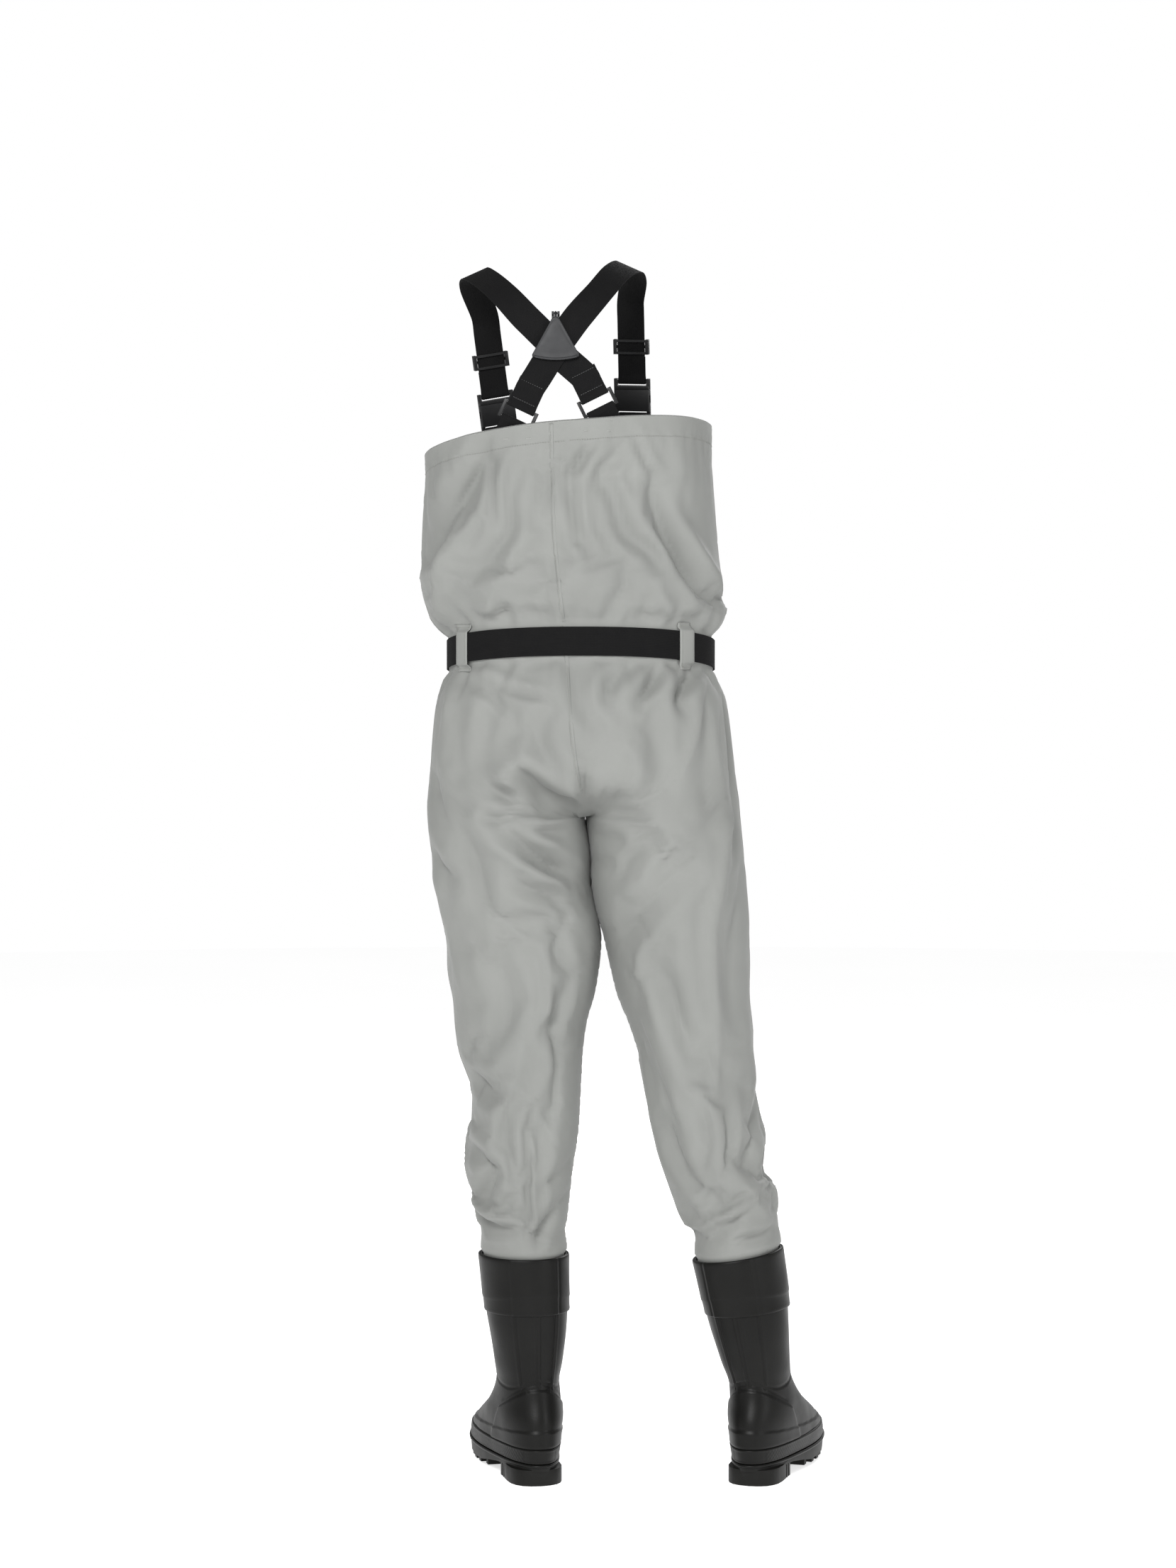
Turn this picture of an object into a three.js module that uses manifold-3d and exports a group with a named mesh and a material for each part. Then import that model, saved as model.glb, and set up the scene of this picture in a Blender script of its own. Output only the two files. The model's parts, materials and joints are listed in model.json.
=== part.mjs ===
// Chest waders with boots on, standing as they do when worn: two fabric legs joined to a bib, rubber boots,
// a webbing belt and crossed elastic suspenders.
// Millimetres, +Z up, front towards -Y, wearer's left towards +X.
import * as THREE from "three";
import { mergeVertices } from "three/addons/utils/BufferGeometryUtils.js";
import Module from "manifold-3d";

const wasm = await Module();
wasm.setup();

// ---- driving dimensions -----------------------------------------------------------------------
const ORIGIN_SHIFT = [59.8, 29.6, 0]; // moves the drawing frame (x = 0 at the crotch) to the middle of the base
const FABRIC = 1.2; // wall of the laminated fabric
const SEAM_GAP = 0.2; // each panel edge stays this far off its seam line
const WEBBING_WIDTH = 38;
const WEBBING_THICKNESS = 1.6;
const PLAY = 0.4; // clearance between touching pieces
const TORSO_POWER = 2.3; // how square the bib's cross-section is: 2 is an ellipse
const CROTCH = 885; // height of the point where the four panels meet
const HIP = 965; // above this height the body is one tube
const BELT = { z: 1100, back: 19, front: -12, halfWidth: 177.5, halfBack: 120, halfFront: 124.2 };
const LEG_END = 284; // the fabric ends this high, inside the boot

// Bib and hips: height, centre x, centre y, half width, half depth behind, half depth in front.
const TORSO = [
  [1425, 21, -4, 191, 128, 130],
  [1330, 19, -4, 190, 130, 134],
  [1270, 17, -3, 194, 134, 137],
  [1210, 14.5, -2, 198.5, 137, 140],
  [1175, 11, 0, 199, 134, 138],
  [1150, 7, 0, 194, 128, 132],
  [1137, 4, 0, 184, 121, 124],
  [1125, 3, 0, 174.5, 116.5, 118.5],
  [1100, 2.5, 0, 172.5, 115.5, 117.5],
  [1075, 2, 0, 174.5, 117, 118.5],
  [1062, 1, 1, 182, 124, 122],
  [1030, 0, 4, 196, 134, 128],
  [990, -2, 6, 202, 140, 131],
  [950, -2.5, 7, 206, 141, 131],
  [915, -2.5, 6, 209, 138, 129],
  [885, -3, 4, 210, 132, 127],
];

// Legs: height, centre x and half width of the left leg, centre x and half width of the right leg,
// centre y, half depth.
const LEGS = [
  [965, 102, 103, -106, 104, 6, 136],
  [885, 102, 103, -110, 104, 4, 128],
  [840, 95.5, 103.5, -116, 104, 2, 120],
  [800, 92, 100.5, -117.5, 104.5, 0, 115],
  [763, 84, 99.5, -122, 103, 0, 111],
  [726, 75.5, 99.5, -128, 99.5, 0, 108],
  [688, 76, 98, -132, 95.5, 0, 105],
  [650, 76, 92, -137, 91.5, 0, 101],
  [612, 81.5, 87, -147, 86, 2, 97],
  [574, 83, 83, -155.5, 81.5, 5, 94],
  [536, 82, 80, -163.5, 80, 8, 92],
  [498, 83.5, 79.5, -169.5, 79.5, 12, 90],
  [460, 84, 77.5, -177, 75.5, 16, 86],
  [422, 86, 73.5, -183.5, 71.5, 19, 81],
  [384, 84.5, 67.5, -193, 68.7, 21, 76],
  [346, 81, 60, -200, 62, 22, 69],
  [308, 79, 54.2, -206.5, 54.5, 21, 63],
  [270, 78, 52.5, -209.5, 52.5, 21, 61],
];

// Boot, seen from its ankle: height, heel end, toe end, half width at the heel, half width at the ball.
const BOOT = [
  [302, 67, -65, 58, 58],
  [250, 65, -62, 56, 56],
  [226, 63, -60, 54, 54],
  [200, 60, -57, 51, 51],
  [160, 54, -55, 45, 46],
  [135, 52, -62, 42, 44],
  [115, 53, -80, 41, 45],
  [98, 56, -108, 42, 47],
  [84, 59, -140, 43, 49],
  [71, 62, -172, 44, 50],
  [59, 64, -200, 44, 51],
  [48, 65, -218, 44, 52],
  [38, 64, -227, 43, 52],
  [28, 62, -230, 41, 51],
];
const BOOT_WALL = 3;
const SOLE_TOP = 28; // the boot's closed bottom
const CUFF = { heights: [302, 250, 226], wall: 1.8 };
// Where each boot stands: ankle, turn-out, how far the top leans sideways, and the slope of its top edge.
const STANCE = {
  1: { x: 70, y: 20, turn: 0.24, lean: 9, slope: 0 },
  [-1]: { x: -238, y: 20, turn: -0.3, lean: 30, slope: -0.145 },
};

const COLOUR = {
  fabric: [0xa3a69f, 0.75, 0],
  seam_tape: [0xb9bab5, 0.6, 0],
  webbing: [0x161616, 0.9, 0],
  rubber: [0x232322, 0.5, 0],
  plastic: [0x3a3b3c, 0.45, 0],
  felt: [0x6c6f70, 0.95, 0],
  steel: [0xb5b7b8, 0.35, 1],
};

// ---- small tools ------------------------------------------------------------------------------
const V = (x, y, z) => new THREE.Vector3(x, y, z);
const clamp01 = (t) => Math.min(1, Math.max(0, t));
const smooth = (t) => clamp01(t) ** 2 * (3 - 2 * clamp01(t));
const mix = (a, b, t) => a + (b - a) * t;
const range = (n, f) => Array.from({ length: n }, (_, i) => f(i));

// A table's row at height z, between its rows by cubic curves.
function at(table, z) {
  const rows = [...table].sort((p, q) => p[0] - q[0]);
  const last = rows.length - 1;
  const above = z >= rows[last][0] ? last : rows.findIndex((r) => r[0] > z);
  const i = Math.min(last - 1, Math.max(0, above - 1));
  const [a, b] = [rows[i], rows[i + 1]];
  const step = b[0] - a[0];
  const t = clamp01((z - a[0]) / step);
  return a.map((_, k) => {
    const slope = (j) => {
      const [p, q] = [rows[Math.max(0, j - 1)], rows[Math.min(last, j + 1)]];
      return (q[k] - p[k]) / (q[0] - p[0]);
    };
    const [m0, m1] = [slope(i) * step, slope(i + 1) * step];
    return (
      (2 * t ** 3 - 3 * t ** 2 + 1) * a[k] + (t ** 3 - 2 * t ** 2 + t) * m0 +
      (-2 * t ** 3 + 3 * t ** 2) * b[k] + (t ** 3 - t ** 2) * m1
    );
  });
}

// A closed solid through rings of points.
// Ends: "strip" closes a flat ring, "fan" a round one, and "loop" joins the last ring to the first.
function loft(rings, ends = "strip") {
  const n = rings[0].length;
  const points = rings.flat();
  const faces = [];
  const joins = ends === "loop" ? rings.length : rings.length - 1;
  for (let r = 0; r < joins; r++)
    for (let i = 0; i < n; i++) {
      const [a, b] = [r * n + i, r * n + ((i + 1) % n)];
      const [c, d] = [a, b].map((k) => (k + n) % points.length);
      faces.push([a, b, d], [a, d, c]);
    }
  const capStrip = (start, flip) => {
    for (let i = 0; i < n / 2 - 1; i++) {
      const [a, b, c, d] = [start + i, start + i + 1, start + n - 2 - i, start + n - 1 - i];
      faces.push(...(flip ? [[a, c, b], [a, d, c]] : [[a, b, c], [a, c, d]]));
    }
  };
  const capFan = (start, flip) => {
    const middle = points.slice(start, start + n).reduce((s, p) => s.add(p), V(0, 0, 0)).divideScalar(n);
    points.push(middle);
    for (let i = 0; i < n; i++) {
      const [a, b] = [start + i, start + ((i + 1) % n)];
      faces.push(flip ? [points.length - 1, b, a] : [points.length - 1, a, b]);
    }
  };
  const end = (rings.length - 1) * n;
  if (ends === "strip") (capStrip(0, true), capStrip(end, false));
  if (ends === "fan") (capFan(0, true), capFan(end, false));
  const volume = faces.reduce((s, [a, b, c]) => s + points[a].dot(points[b].clone().cross(points[c])), 0);
  const index = faces.flatMap(([a, b, c]) => (volume > 0 ? [a, b, c] : [a, c, b]));
  const geometry = new THREE.BufferGeometry().setFromPoints(points);
  return geometry.setIndex(index);
}

// manifold-3d joins and cuts.
function solid(geometry) {
  const bare = geometry.clone();
  bare.deleteAttribute("normal");
  bare.deleteAttribute("uv");
  const merged = mergeVertices(bare, 1e-3);
  return new wasm.Manifold(
    new wasm.Mesh({
      numProp: 3,
      vertProperties: merged.attributes.position.array,
      triVerts: new Uint32Array(merged.index.array),
    }),
  );
}
function geometryOf(made) {
  const mesh = made.getMesh();
  return new THREE.BufferGeometry()
    .setAttribute("position", new THREE.BufferAttribute(mesh.vertProperties, 3))
    .setIndex(new THREE.BufferAttribute(mesh.triVerts, 1));
}
const join = (first, ...more) => geometryOf(more.reduce((s, g) => s.add(solid(g)), solid(first)));
const cut = (first, ...more) => geometryOf(more.reduce((s, g) => s.subtract(solid(g)), solid(first)));

// A box between two corners, given in either order along each axis.
function block(x0, x1, y0, y1, z0, z1) {
  const box = new THREE.BoxGeometry(Math.abs(x1 - x0), Math.abs(y1 - y0), Math.abs(z1 - z0));
  return box.translate((x0 + x1) / 2, (y0 + y1) / 2, (z0 + z1) / 2);
}
// A cylinder along x through (y, z).
function rod(radius, length, y, z) {
  return new THREE.CylinderGeometry(radius, radius, length, 12).rotateZ(Math.PI / 2).translate(0, y, z);
}
// A rounded slab: width along x, thickness along y, length along z.
function slab(width, thickness, z0, z1, round) {
  const [w, t] = [width / 2, thickness / 2];
  const shape = new THREE.Shape();
  shape.moveTo(-w + round, -t).lineTo(w - round, -t).quadraticCurveTo(w, -t, w, -t + round);
  shape.lineTo(w, t - round).quadraticCurveTo(w, t, w - round, t).lineTo(-w + round, t);
  shape.quadraticCurveTo(-w, t, -w, t - round).lineTo(-w, -t + round).quadraticCurveTo(-w, -t, -w + round, -t);
  const options = { depth: z1 - z0, bevelEnabled: false, curveSegments: 3 };
  return new THREE.ExtrudeGeometry(shape, options).translate(0, 0, z0);
}

const waders = new THREE.Group();
function add(name, geometry, colour, parent = waders) {
  const [color, roughness, metalness] = COLOUR[colour];
  const mesh = new THREE.Mesh(geometry, new THREE.MeshStandardMaterial({ color, roughness, metalness }));
  mesh.name = name;
  parent.add(mesh);
  return mesh;
}

// ---- the fabric's shape -----------------------------------------------------------------------
// side is 1 for the wearer's left and -1 for the right; face is 1 behind and -1 in front.
// u runs from the outseam (0) to the centre seam or the inseam (1).
function waistTilt(u, face, z) {
  const lift = face > 0 ? BELT.back : BELT.front;
  return lift * Math.sin((u * Math.PI) / 2) * smooth((200 - Math.abs(z - BELT.z)) / 120);
}
function torsoPoint(side, face, u, z, grow = 0) {
  const [, cx, cy, half, back, front] = at(TORSO, z - waistTilt(u, face, z));
  const angle = (u * Math.PI) / 2;
  const depth = face > 0 ? back : front;
  return V(
    cx + side * (half + grow) * Math.max(0, Math.cos(angle)) ** (2 / TORSO_POWER),
    cy + face * (depth + grow) * Math.sin(angle) ** (2 / TORSO_POWER),
    z,
  );
}
function legPoint(side, face, u, z) {
  const row = at(LEGS, z);
  const [cx, half] = side > 0 ? [row[1], row[2]] : [row[3], row[4]];
  const angle = u * Math.PI;
  const free = V(cx + side * half * Math.cos(angle), row[5] + face * row[6] * Math.sin(angle), z);
  if (z > 360) return free;
  const first = bootPoint(side, z, Math.PI / 2 - face * angle, -BOOT_WALL - 1.4);
  const tucked = bootPoint(side, 2 * z - first.z, Math.PI / 2 - face * angle, -BOOT_WALL - 1.4).setZ(z);
  return free.lerp(tucked, smooth((350 - z) / 35));
}
function skin(side, face, u, z) {
  const above = clamp01((z - CROTCH) / (HIP - CROTCH));
  if (above >= 1) return torsoPoint(side, face, u, z);
  const round = 1 - Math.sqrt(1 - (1 - above) ** 2);
  const leg = mix(1 - smooth(above), round, u ** 4);
  return torsoPoint(side, face, u, z).lerp(legPoint(side, face, u, z), leg);
}
function skinNormal(side, face, u, z) {
  const [du, dz] = [0.01, 2];
  const [u0, u1] = [Math.max(0, u - du), Math.min(1, u + du)];
  const across = skin(side, face, u1, z).sub(skin(side, face, u0, z));
  const along = skin(side, face, u, z + dz).sub(skin(side, face, u, z - dz));
  const normal = across.cross(along).normalize();
  return normal.multiplyScalar(side * face);
}
// The top edge: higher in the middle, and higher on the right, as the wearer's shoulders are.
const HEM = { height: 1392, tilt: 20, backRise: 14, frontRise: 20 };
function hem(u, side, face) {
  const angle = (u * Math.PI) / 2;
  const rise = face > 0 ? HEM.backRise : HEM.frontRise;
  return HEM.height - HEM.tilt * side * Math.cos(angle) + rise * Math.sin(angle);
}
// A nominal height follows the hem near the top and the slope of the boot's top edge near the bottom.
function rowHeight(side, face, u, z) {
  const top = (hem(u, side, face) - 1400) * smooth((z - 1180) / (1400 - 1180));
  const middle = at(LEGS, z)[side > 0 ? 1 : 3];
  const across = z < 420 ? skin(side, face, u, z).x - middle : 0;
  return z + top + waistTilt(u, face, z) + STANCE[side].slope * across * smooth((420 - z) / 120);
}
// The bib's depth at a given x, behind (face 1) or in front (face -1).
function bibY(face, x, z) {
  const [, cx, , half] = at(TORSO, z);
  const u = Math.acos(Math.abs((x - cx) / half) ** (TORSO_POWER / 2)) / (Math.PI / 2);
  return torsoPoint(x < cx ? -1 : 1, face, u, z).y;
}
const frontY = (x, z) => bibY(-1, x, z);
function bibNormal(face, x, z) {
  return V(bibY(face, x - 15, z) - bibY(face, x + 15, z), 30, 0).normalize().multiplyScalar(face);
}

// Nominal heights of a panel's rows, and how many strips its width is divided into.
const LEVELS = [
  1400, 1365, 1325, 1285, 1245, 1205, 1175, 1150, 1137, 1125, 1100, 1075, 1062, 1040, 1005, 965,
  940, 918, 902, 892, 887, 885, 862, 840, 800, 763, 726, 688, 645, 600, 555, 510, 465, 425, 385,
  350, 330, 310, LEG_END,
];
const COLUMNS = 8;

// One panel of fabric from hem to ankle: half of the back or half of the front.
function panel(side, face) {
  const rings = LEVELS.map((level) => {
    const outer = range(COLUMNS + 1, (j) => {
      const u = j / COLUMNS;
      return skin(side, face, u, rowHeight(side, face, u, level));
    });
    const inner = outer.map((p, j) => {
      return p.clone().addScaledVector(skinNormal(side, face, j / COLUMNS, p.z), -FABRIC);
    });
    for (const row of [outer, inner])
      for (const [edge, next] of [[0, 1], [COLUMNS, COLUMNS - 1]]) {
        const inward = row[next].clone().sub(row[edge]).normalize();
        row[edge].addScaledVector(inward, SEAM_GAP);
      }
    return [...outer, ...inner.reverse()];
  });
  return loft(rings);
}

// The outer surface at one of the panel's columns, in the row of a nominal height.
const gridPoint = (side, face, column, level) => {
  const u = column / COLUMNS;
  return skin(side, face, u, rowHeight(side, face, u, level));
};

// A thin strip that covers a seam from inside. Each row holds the seam's point and its neighbours either way.
const TAPE = { half: 10, off: FABRIC + 0.9, thick: 0.5 };
function tape(rows, inside) {
  const rings = rows.map(([before, seam, after], i) => {
    const along = rows[Math.min(i + 1, rows.length - 1)][1].clone().sub(rows[Math.max(i - 1, 0)][1]);
    const inward = along.cross(after.clone().sub(before)).normalize();
    const edge = (next) => seam.clone().addScaledVector(next.clone().sub(seam).normalize(), TAPE.half);
    const line = [edge(before), seam, edge(after)];
    const layer = (off) => line.map((p) => p.clone().addScaledVector(inward, inside * off));
    return [...layer(TAPE.off), ...layer(TAPE.off + TAPE.thick).reverse()];
  });
  return loft(rings);
}
function legTape(side, column, levels) {
  const next = column ? COLUMNS - 1 : 1;
  const rows = levels.map((z) => [
    gridPoint(side, 1, next, z), gridPoint(side, 1, column, z), gridPoint(side, -1, next, z),
  ]);
  return tape(rows, column ? -side : side);
}
function centreTape() {
  const levels = LEVELS.filter((z) => z < 1370 && z > CROTCH + 10);
  const run = (face) =>
    levels.map((z) => [1, -1].map((side) => gridPoint(side, face, COLUMNS - 1, z)))
      .map(([left, right], i) => [left, gridPoint(1, face, COLUMNS, levels[i]), right]);
  const crotch = [V(9, 4, CROTCH + 3), V(-3, 4, CROTCH + 3), V(-15, 4, CROTCH + 3)];
  return tape([...run(1), crotch, ...run(-1).reverse()], -1);
}

for (const [side, name] of [[1, "left"], [-1, "right"]]) {
  add(`${name}_back_panel`, panel(side, 1), "fabric");
  add(`${name}_front_panel`, panel(side, -1), "fabric");
  const outseam = LEVELS.filter((z) => z < 1370 && z >= 350);
  add(`${name}_side_seam_tape`, legTape(side, 0, outseam), "seam_tape");
  const inseam = outseam.filter((z) => z < CROTCH - 20);
  add(`${name}_inseam_tape`, legTape(side, COLUMNS, inseam), "seam_tape");
  add(`${name}_knee_patch`, kneePatch(side), "fabric");
}
add("centre_seam_tape", centreTape(), "seam_tape");

// A second layer of fabric over the shin and knee.
function kneePatch(side) {
  const columns = range(COLUMNS / 2 + 1, (j) => 0.25 + j / COLUMNS);
  const rings = LEVELS.filter((z) => z < 690 && z > 380).map((level) => {
    const layer = (off) =>
      columns.map((u) => {
        const z = rowHeight(side, -1, u, level);
        return skin(side, -1, u, z).addScaledVector(skinNormal(side, -1, u, z), off);
      });
    return [...layer(PLAY + FABRIC), ...layer(PLAY).reverse()];
  });
  return loft(rings);
}

// ---- belt -------------------------------------------------------------------------------------
// Angle 0 is the wearer's left side, 90 degrees is the middle of the back.
function beltPoint(angle, up, out) {
  const [c, s] = [Math.cos(angle), Math.sin(angle)];
  const depth = s > 0 ? BELT.halfBack : BELT.halfFront;
  const lift = s > 0 ? BELT.back * s : -BELT.front * s;
  return V(
    2.5 + Math.sign(c) * (BELT.halfWidth + out) * Math.abs(c) ** (2 / TORSO_POWER),
    Math.sign(s) * (depth + out) * Math.abs(s) ** (2 / TORSO_POWER),
    BELT.z + lift + up,
  );
}
function beltRun(from, to, steps, out = 0) {
  const half = WEBBING_WIDTH / 2;
  const outer = out + WEBBING_THICKNESS;
  const rings = range(steps + 1, (i) => {
    const a = mix(from, to, i / steps);
    return [
      beltPoint(a, -half, out), beltPoint(a, half, out),
      beltPoint(a, half, outer), beltPoint(a, -half, outer),
    ];
  });
  return loft(rings);
}

// A belt loop: a fabric tab over the belt, sewn down above and below it. It reaches this far above and
// below the belt's middle, and clears the belt within `free` of it. Its width is an angle round the body.
const LOOP = { reach: 30, free: 23, turn: 0.09, off: 0.6, steps: 8 };
function beltLoop(angle) {
  const lift = beltPoint(angle, 0, 0).z - BELT.z;
  const rings = range(LOOP.steps + 1, (i) => {
    const up = mix(LOOP.reach, -LOOP.reach, i / LOOP.steps);
    const columns = [-1, 0, 1].map((k) => angle + k * LOOP.turn);
    const layer = (thick) =>
      columns.map((a) => {
        const [face, side] = [Math.sin(a) > 0 ? 1 : -1, Math.cos(a) > 0 ? 1 : -1];
        const u = Math.asin(Math.abs(Math.sin(a))) / (Math.PI / 2);
        const body = torsoPoint(side, face, u, BELT.z + lift + up);
        const band = beltPoint(a, up, WEBBING_THICKNESS);
        const outward = V(band.x - 2.5, band.y, 0).normalize();
        const reachOf = (p) => V(p.x - 2.5, p.y, 0).dot(outward);
        const overBelt = Math.abs(up) < LOOP.free ? reachOf(band) : 0;
        const far = Math.max(reachOf(body), overBelt) + LOOP.off;
        return V(2.5, 0, BELT.z + lift + up).addScaledVector(outward, far + thick);
      });
    return [...layer(FABRIC), ...layer(0).reverse()];
  });
  return loft(rings);
}
// Each belt loop's angle round the body.
const LOOPS = {
  back_left: 0.54,
  back_right: Math.PI - 0.72,
  front_left: -0.72,
  front_right: Math.PI + 0.72,
};
for (const [name, angle] of Object.entries(LOOPS)) add(`${name}_belt_loop`, beltLoop(angle), "fabric");

// ---- side-release buckle, drawn with the webbing along z, its outer face towards +y, mouth at z = 0 
const BUCKLE = {
  width: 50, thick: 11, body: 29.5, bar: 35, prong: 23, base: 14.6, maleBar: 10.6, barRadius: 2,
};
const RAIL = WEBBING_WIDTH / 2 + 1.4; // the inner edge of the side rails that carry a bar
function femaleBuckle() {
  const { width, thick, body, bar, barRadius } = BUCKLE;
  const half = width / 2;
  const shell = slab(width, thick, -body, 0, 3);
  const socket = block(-21, 21, -3.4, 3.4, -24.5, 1);
  const windows = block(-half - 1, half + 1, -2.6, 2.6, -18, -8);
  const rails = [-1, 1].map((s) => block(s * RAIL, s * half, -3, 3, -bar - 3, -body + 1));
  return join(cut(shell, socket, windows), ...rails, rod(barRadius, width - 4, 0, -bar));
}
function maleBuckle() {
  const { width, thick, prong, base, maleBar, barRadius } = BUCKLE;
  const root = slab(width, thick, PLAY, 5, 3);
  const arms = [-1, 1].map((s) => block(s * 13.5, s * 20.4, -2.2, 2.2, -prong, 1));
  const tongue = block(-3, 3, -2.2, 2.2, -prong + 3, 1);
  const rails = [-1, 1].map((s) => block(s * RAIL, (s * width) / 2, -3, 3, 4.5, base));
  return join(root, ...arms, tongue, ...rails, rod(barRadius, width - 4, 0, maleBar));
}
// Webbing folded round a bar at the origin: an eye, and a tail along z from it, between low and high in y.
function webbingEye(length, direction, low, high) {
  const hole = BUCKLE.barRadius + PLAY;
  const outer = hole + WEBBING_THICKNESS;
  const half = WEBBING_WIDTH / 2;
  const ring = cut(rod(outer, WEBBING_WIDTH, 0, 0), rod(hole, WEBBING_WIDTH + 2, 0, 0));
  const near = hole + 0.6;
  return join(ring, block(-half, half, low, high, direction * near, direction * length));
}

// ---- suspenders -------------------------------------------------------------------------------
// The front run of each strap is a straight line. Distances along it start a little below the hem,
// inside the bib.
const FRONT_RUN = {
  1: { x: 110, z: 1375, way: V(24, 38, 185) },
  [-1]: { x: -70, z: 1393, way: V(4, 38, 185) },
};
const ALONG = { mouth: 71, strapEnd: 117, adjuster: 119, straightEnd: 188 };
// The strap's own layer lies this far behind the run's line, and its turned-back layer as far in front.
const LAYER = 1.1;
const frontFrame = (side) => {
  const run = FRONT_RUN[side];
  const out = bibNormal(-1, run.x, run.z);
  const from = V(run.x, frontY(run.x, run.z), run.z).addScaledVector(out, -FABRIC - 2.6);
  const z = run.way.clone().normalize();
  const x = out.clone().cross(z).normalize(); // along the webbing's width
  const y = z.clone().cross(x).normalize(); // outward, away from the wearer
  return { from, x, y, z };
};
const frontPoint = (side, along, out = 0) => {
  const { from, y, z } = frontFrame(side);
  return from.clone().addScaledVector(z, along).addScaledVector(y, out);
};
// A group whose z follows the strap, y points outward, and origin is `along` millimetres up the front run.
function frontGroup(side, along) {
  const { x, y, z } = frontFrame(side);
  const group = new THREE.Group();
  group.quaternion.setFromRotationMatrix(new THREE.Matrix4().makeBasis(x, y, z));
  group.position.copy(frontPoint(side, along));
  waders.add(group);
  return group;
}

// Webbing swept through points, its flat side facing along the matching normals.
function ribbon(points, normals, steps) {
  const path = new THREE.CatmullRomCurve3(points, false, "centripetal");
  const lean = new THREE.CatmullRomCurve3(normals, false, "centripetal");
  const [w, t] = [WEBBING_WIDTH / 2, WEBBING_THICKNESS / 2];
  const rings = range(steps + 1, (i) => {
    const s = i / steps;
    const p = path.getPoint(s);
    const tangent = path.getTangent(s);
    const across = tangent.clone().cross(lean.getPoint(s)).normalize();
    const out = across.clone().cross(tangent).normalize();
    const corner = (a, b) => p.clone().addScaledVector(across, a * w).addScaledVector(out, b * t);
    return [corner(-1, -1), corner(1, -1), corner(1, 1), corner(-1, 1)];
  });
  return loft(rings);
}

// The back ring of each strap: centre and direction up the strap. A strap starts at the other side's ring.
const BACK_RING = {
  1: { x: 85, z: 1414, up: V(-52, 0, 108) },
  [-1]: { x: -20, z: 1429, up: V(40, 0, 80) },
};
const RING = { width: 49, length: 24, thick: 4, barRadius: 2, barAt: 9.4 };
const ringFrame = (side) => {
  const ring = BACK_RING[side];
  const out = bibNormal(1, ring.x, 1395);
  const centre = V(ring.x, bibY(1, ring.x, 1395), ring.z).addScaledVector(out, -FABRIC - 4.9);
  const x = out.clone().cross(ring.up).normalize();
  return { centre, x, y: out, z: x.clone().cross(out) };
};
function ringGroup(side) {
  const { centre, x, y, z } = ringFrame(side);
  const group = new THREE.Group();
  group.quaternion.setFromRotationMatrix(new THREE.Matrix4().makeBasis(x, y, z));
  group.position.copy(centre);
  waders.add(group);
  return group;
}
function ringGeometry() {
  const { width, length, thick, barRadius, barAt } = RING;
  const rails = [-1, 1].map((s) => {
    return block(s * RAIL, (s * width) / 2, -thick / 2, thick / 2, -length / 2 + 0.2, length / 2 - 0.2);
  });
  const bars = [-1, 1].map((s) => rod(barRadius, width - 4, 0, s * barAt));
  return join(...rails, ...bars);
}

// Keeper: the hinged triangle that clamps the two straps where they cross.
// Its two plates lie between these depths, and its hinge pin runs along x above them.
const KEEPER = {
  at: V(35, 117, 1512), lean: 0.06, halfWidth: 31, low: -28, high: 29,
  back: [-4.4, -2.6], cover: [2.6, 6.2], pin: 33.4, pinRadius: 1.2, knuckle: 2.6,
};
const keeper = new THREE.Group();
keeper.position.copy(KEEPER.at);
keeper.rotation.x = KEEPER.lean;
waders.add(keeper);
const keeperPoint = (x, y, z) => V(x, y, z).applyEuler(keeper.rotation).add(KEEPER.at);

// Each strap: from its back ring, through the keeper, over the other shoulder, down to the straight front run.
// Inside the keeper its middle passes through the points `cross`, x and z, at depth `layer`.
const STRAPS = {
  left_suspender: {
    ring: -1, front: 1, layer: -1.1,
    cross: [[-27, -46], [-10, -24], [2, -9], [15, 4], [29, 18], [40, 29]],
    over: [[104, 94, 1573], [130, 48, 1598], [145, 0, 1608], [147, -38, 1597]],
    lean: [[0.1, 0.8, 0.6], [0.3, 0.45, 0.85], [0.42, 0, 0.9], [0.35, -0.5, 0.8]],
  },
  right_suspender: {
    ring: 1, front: -1, layer: 1.1,
    cross: [[22, -47], [8, -24], [-1, -10], [-11, 4], [-21, 18], [-30, 30]],
    over: [[-22, 94, 1575], [-46, 48, 1606], [-63, 0, 1617], [-68, -38, 1606]],
    lean: [[-0.1, 0.8, 0.6], [-0.3, 0.45, 0.85], [-0.42, 0, 0.9], [-0.35, -0.5, 0.8]],
  },
};
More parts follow.
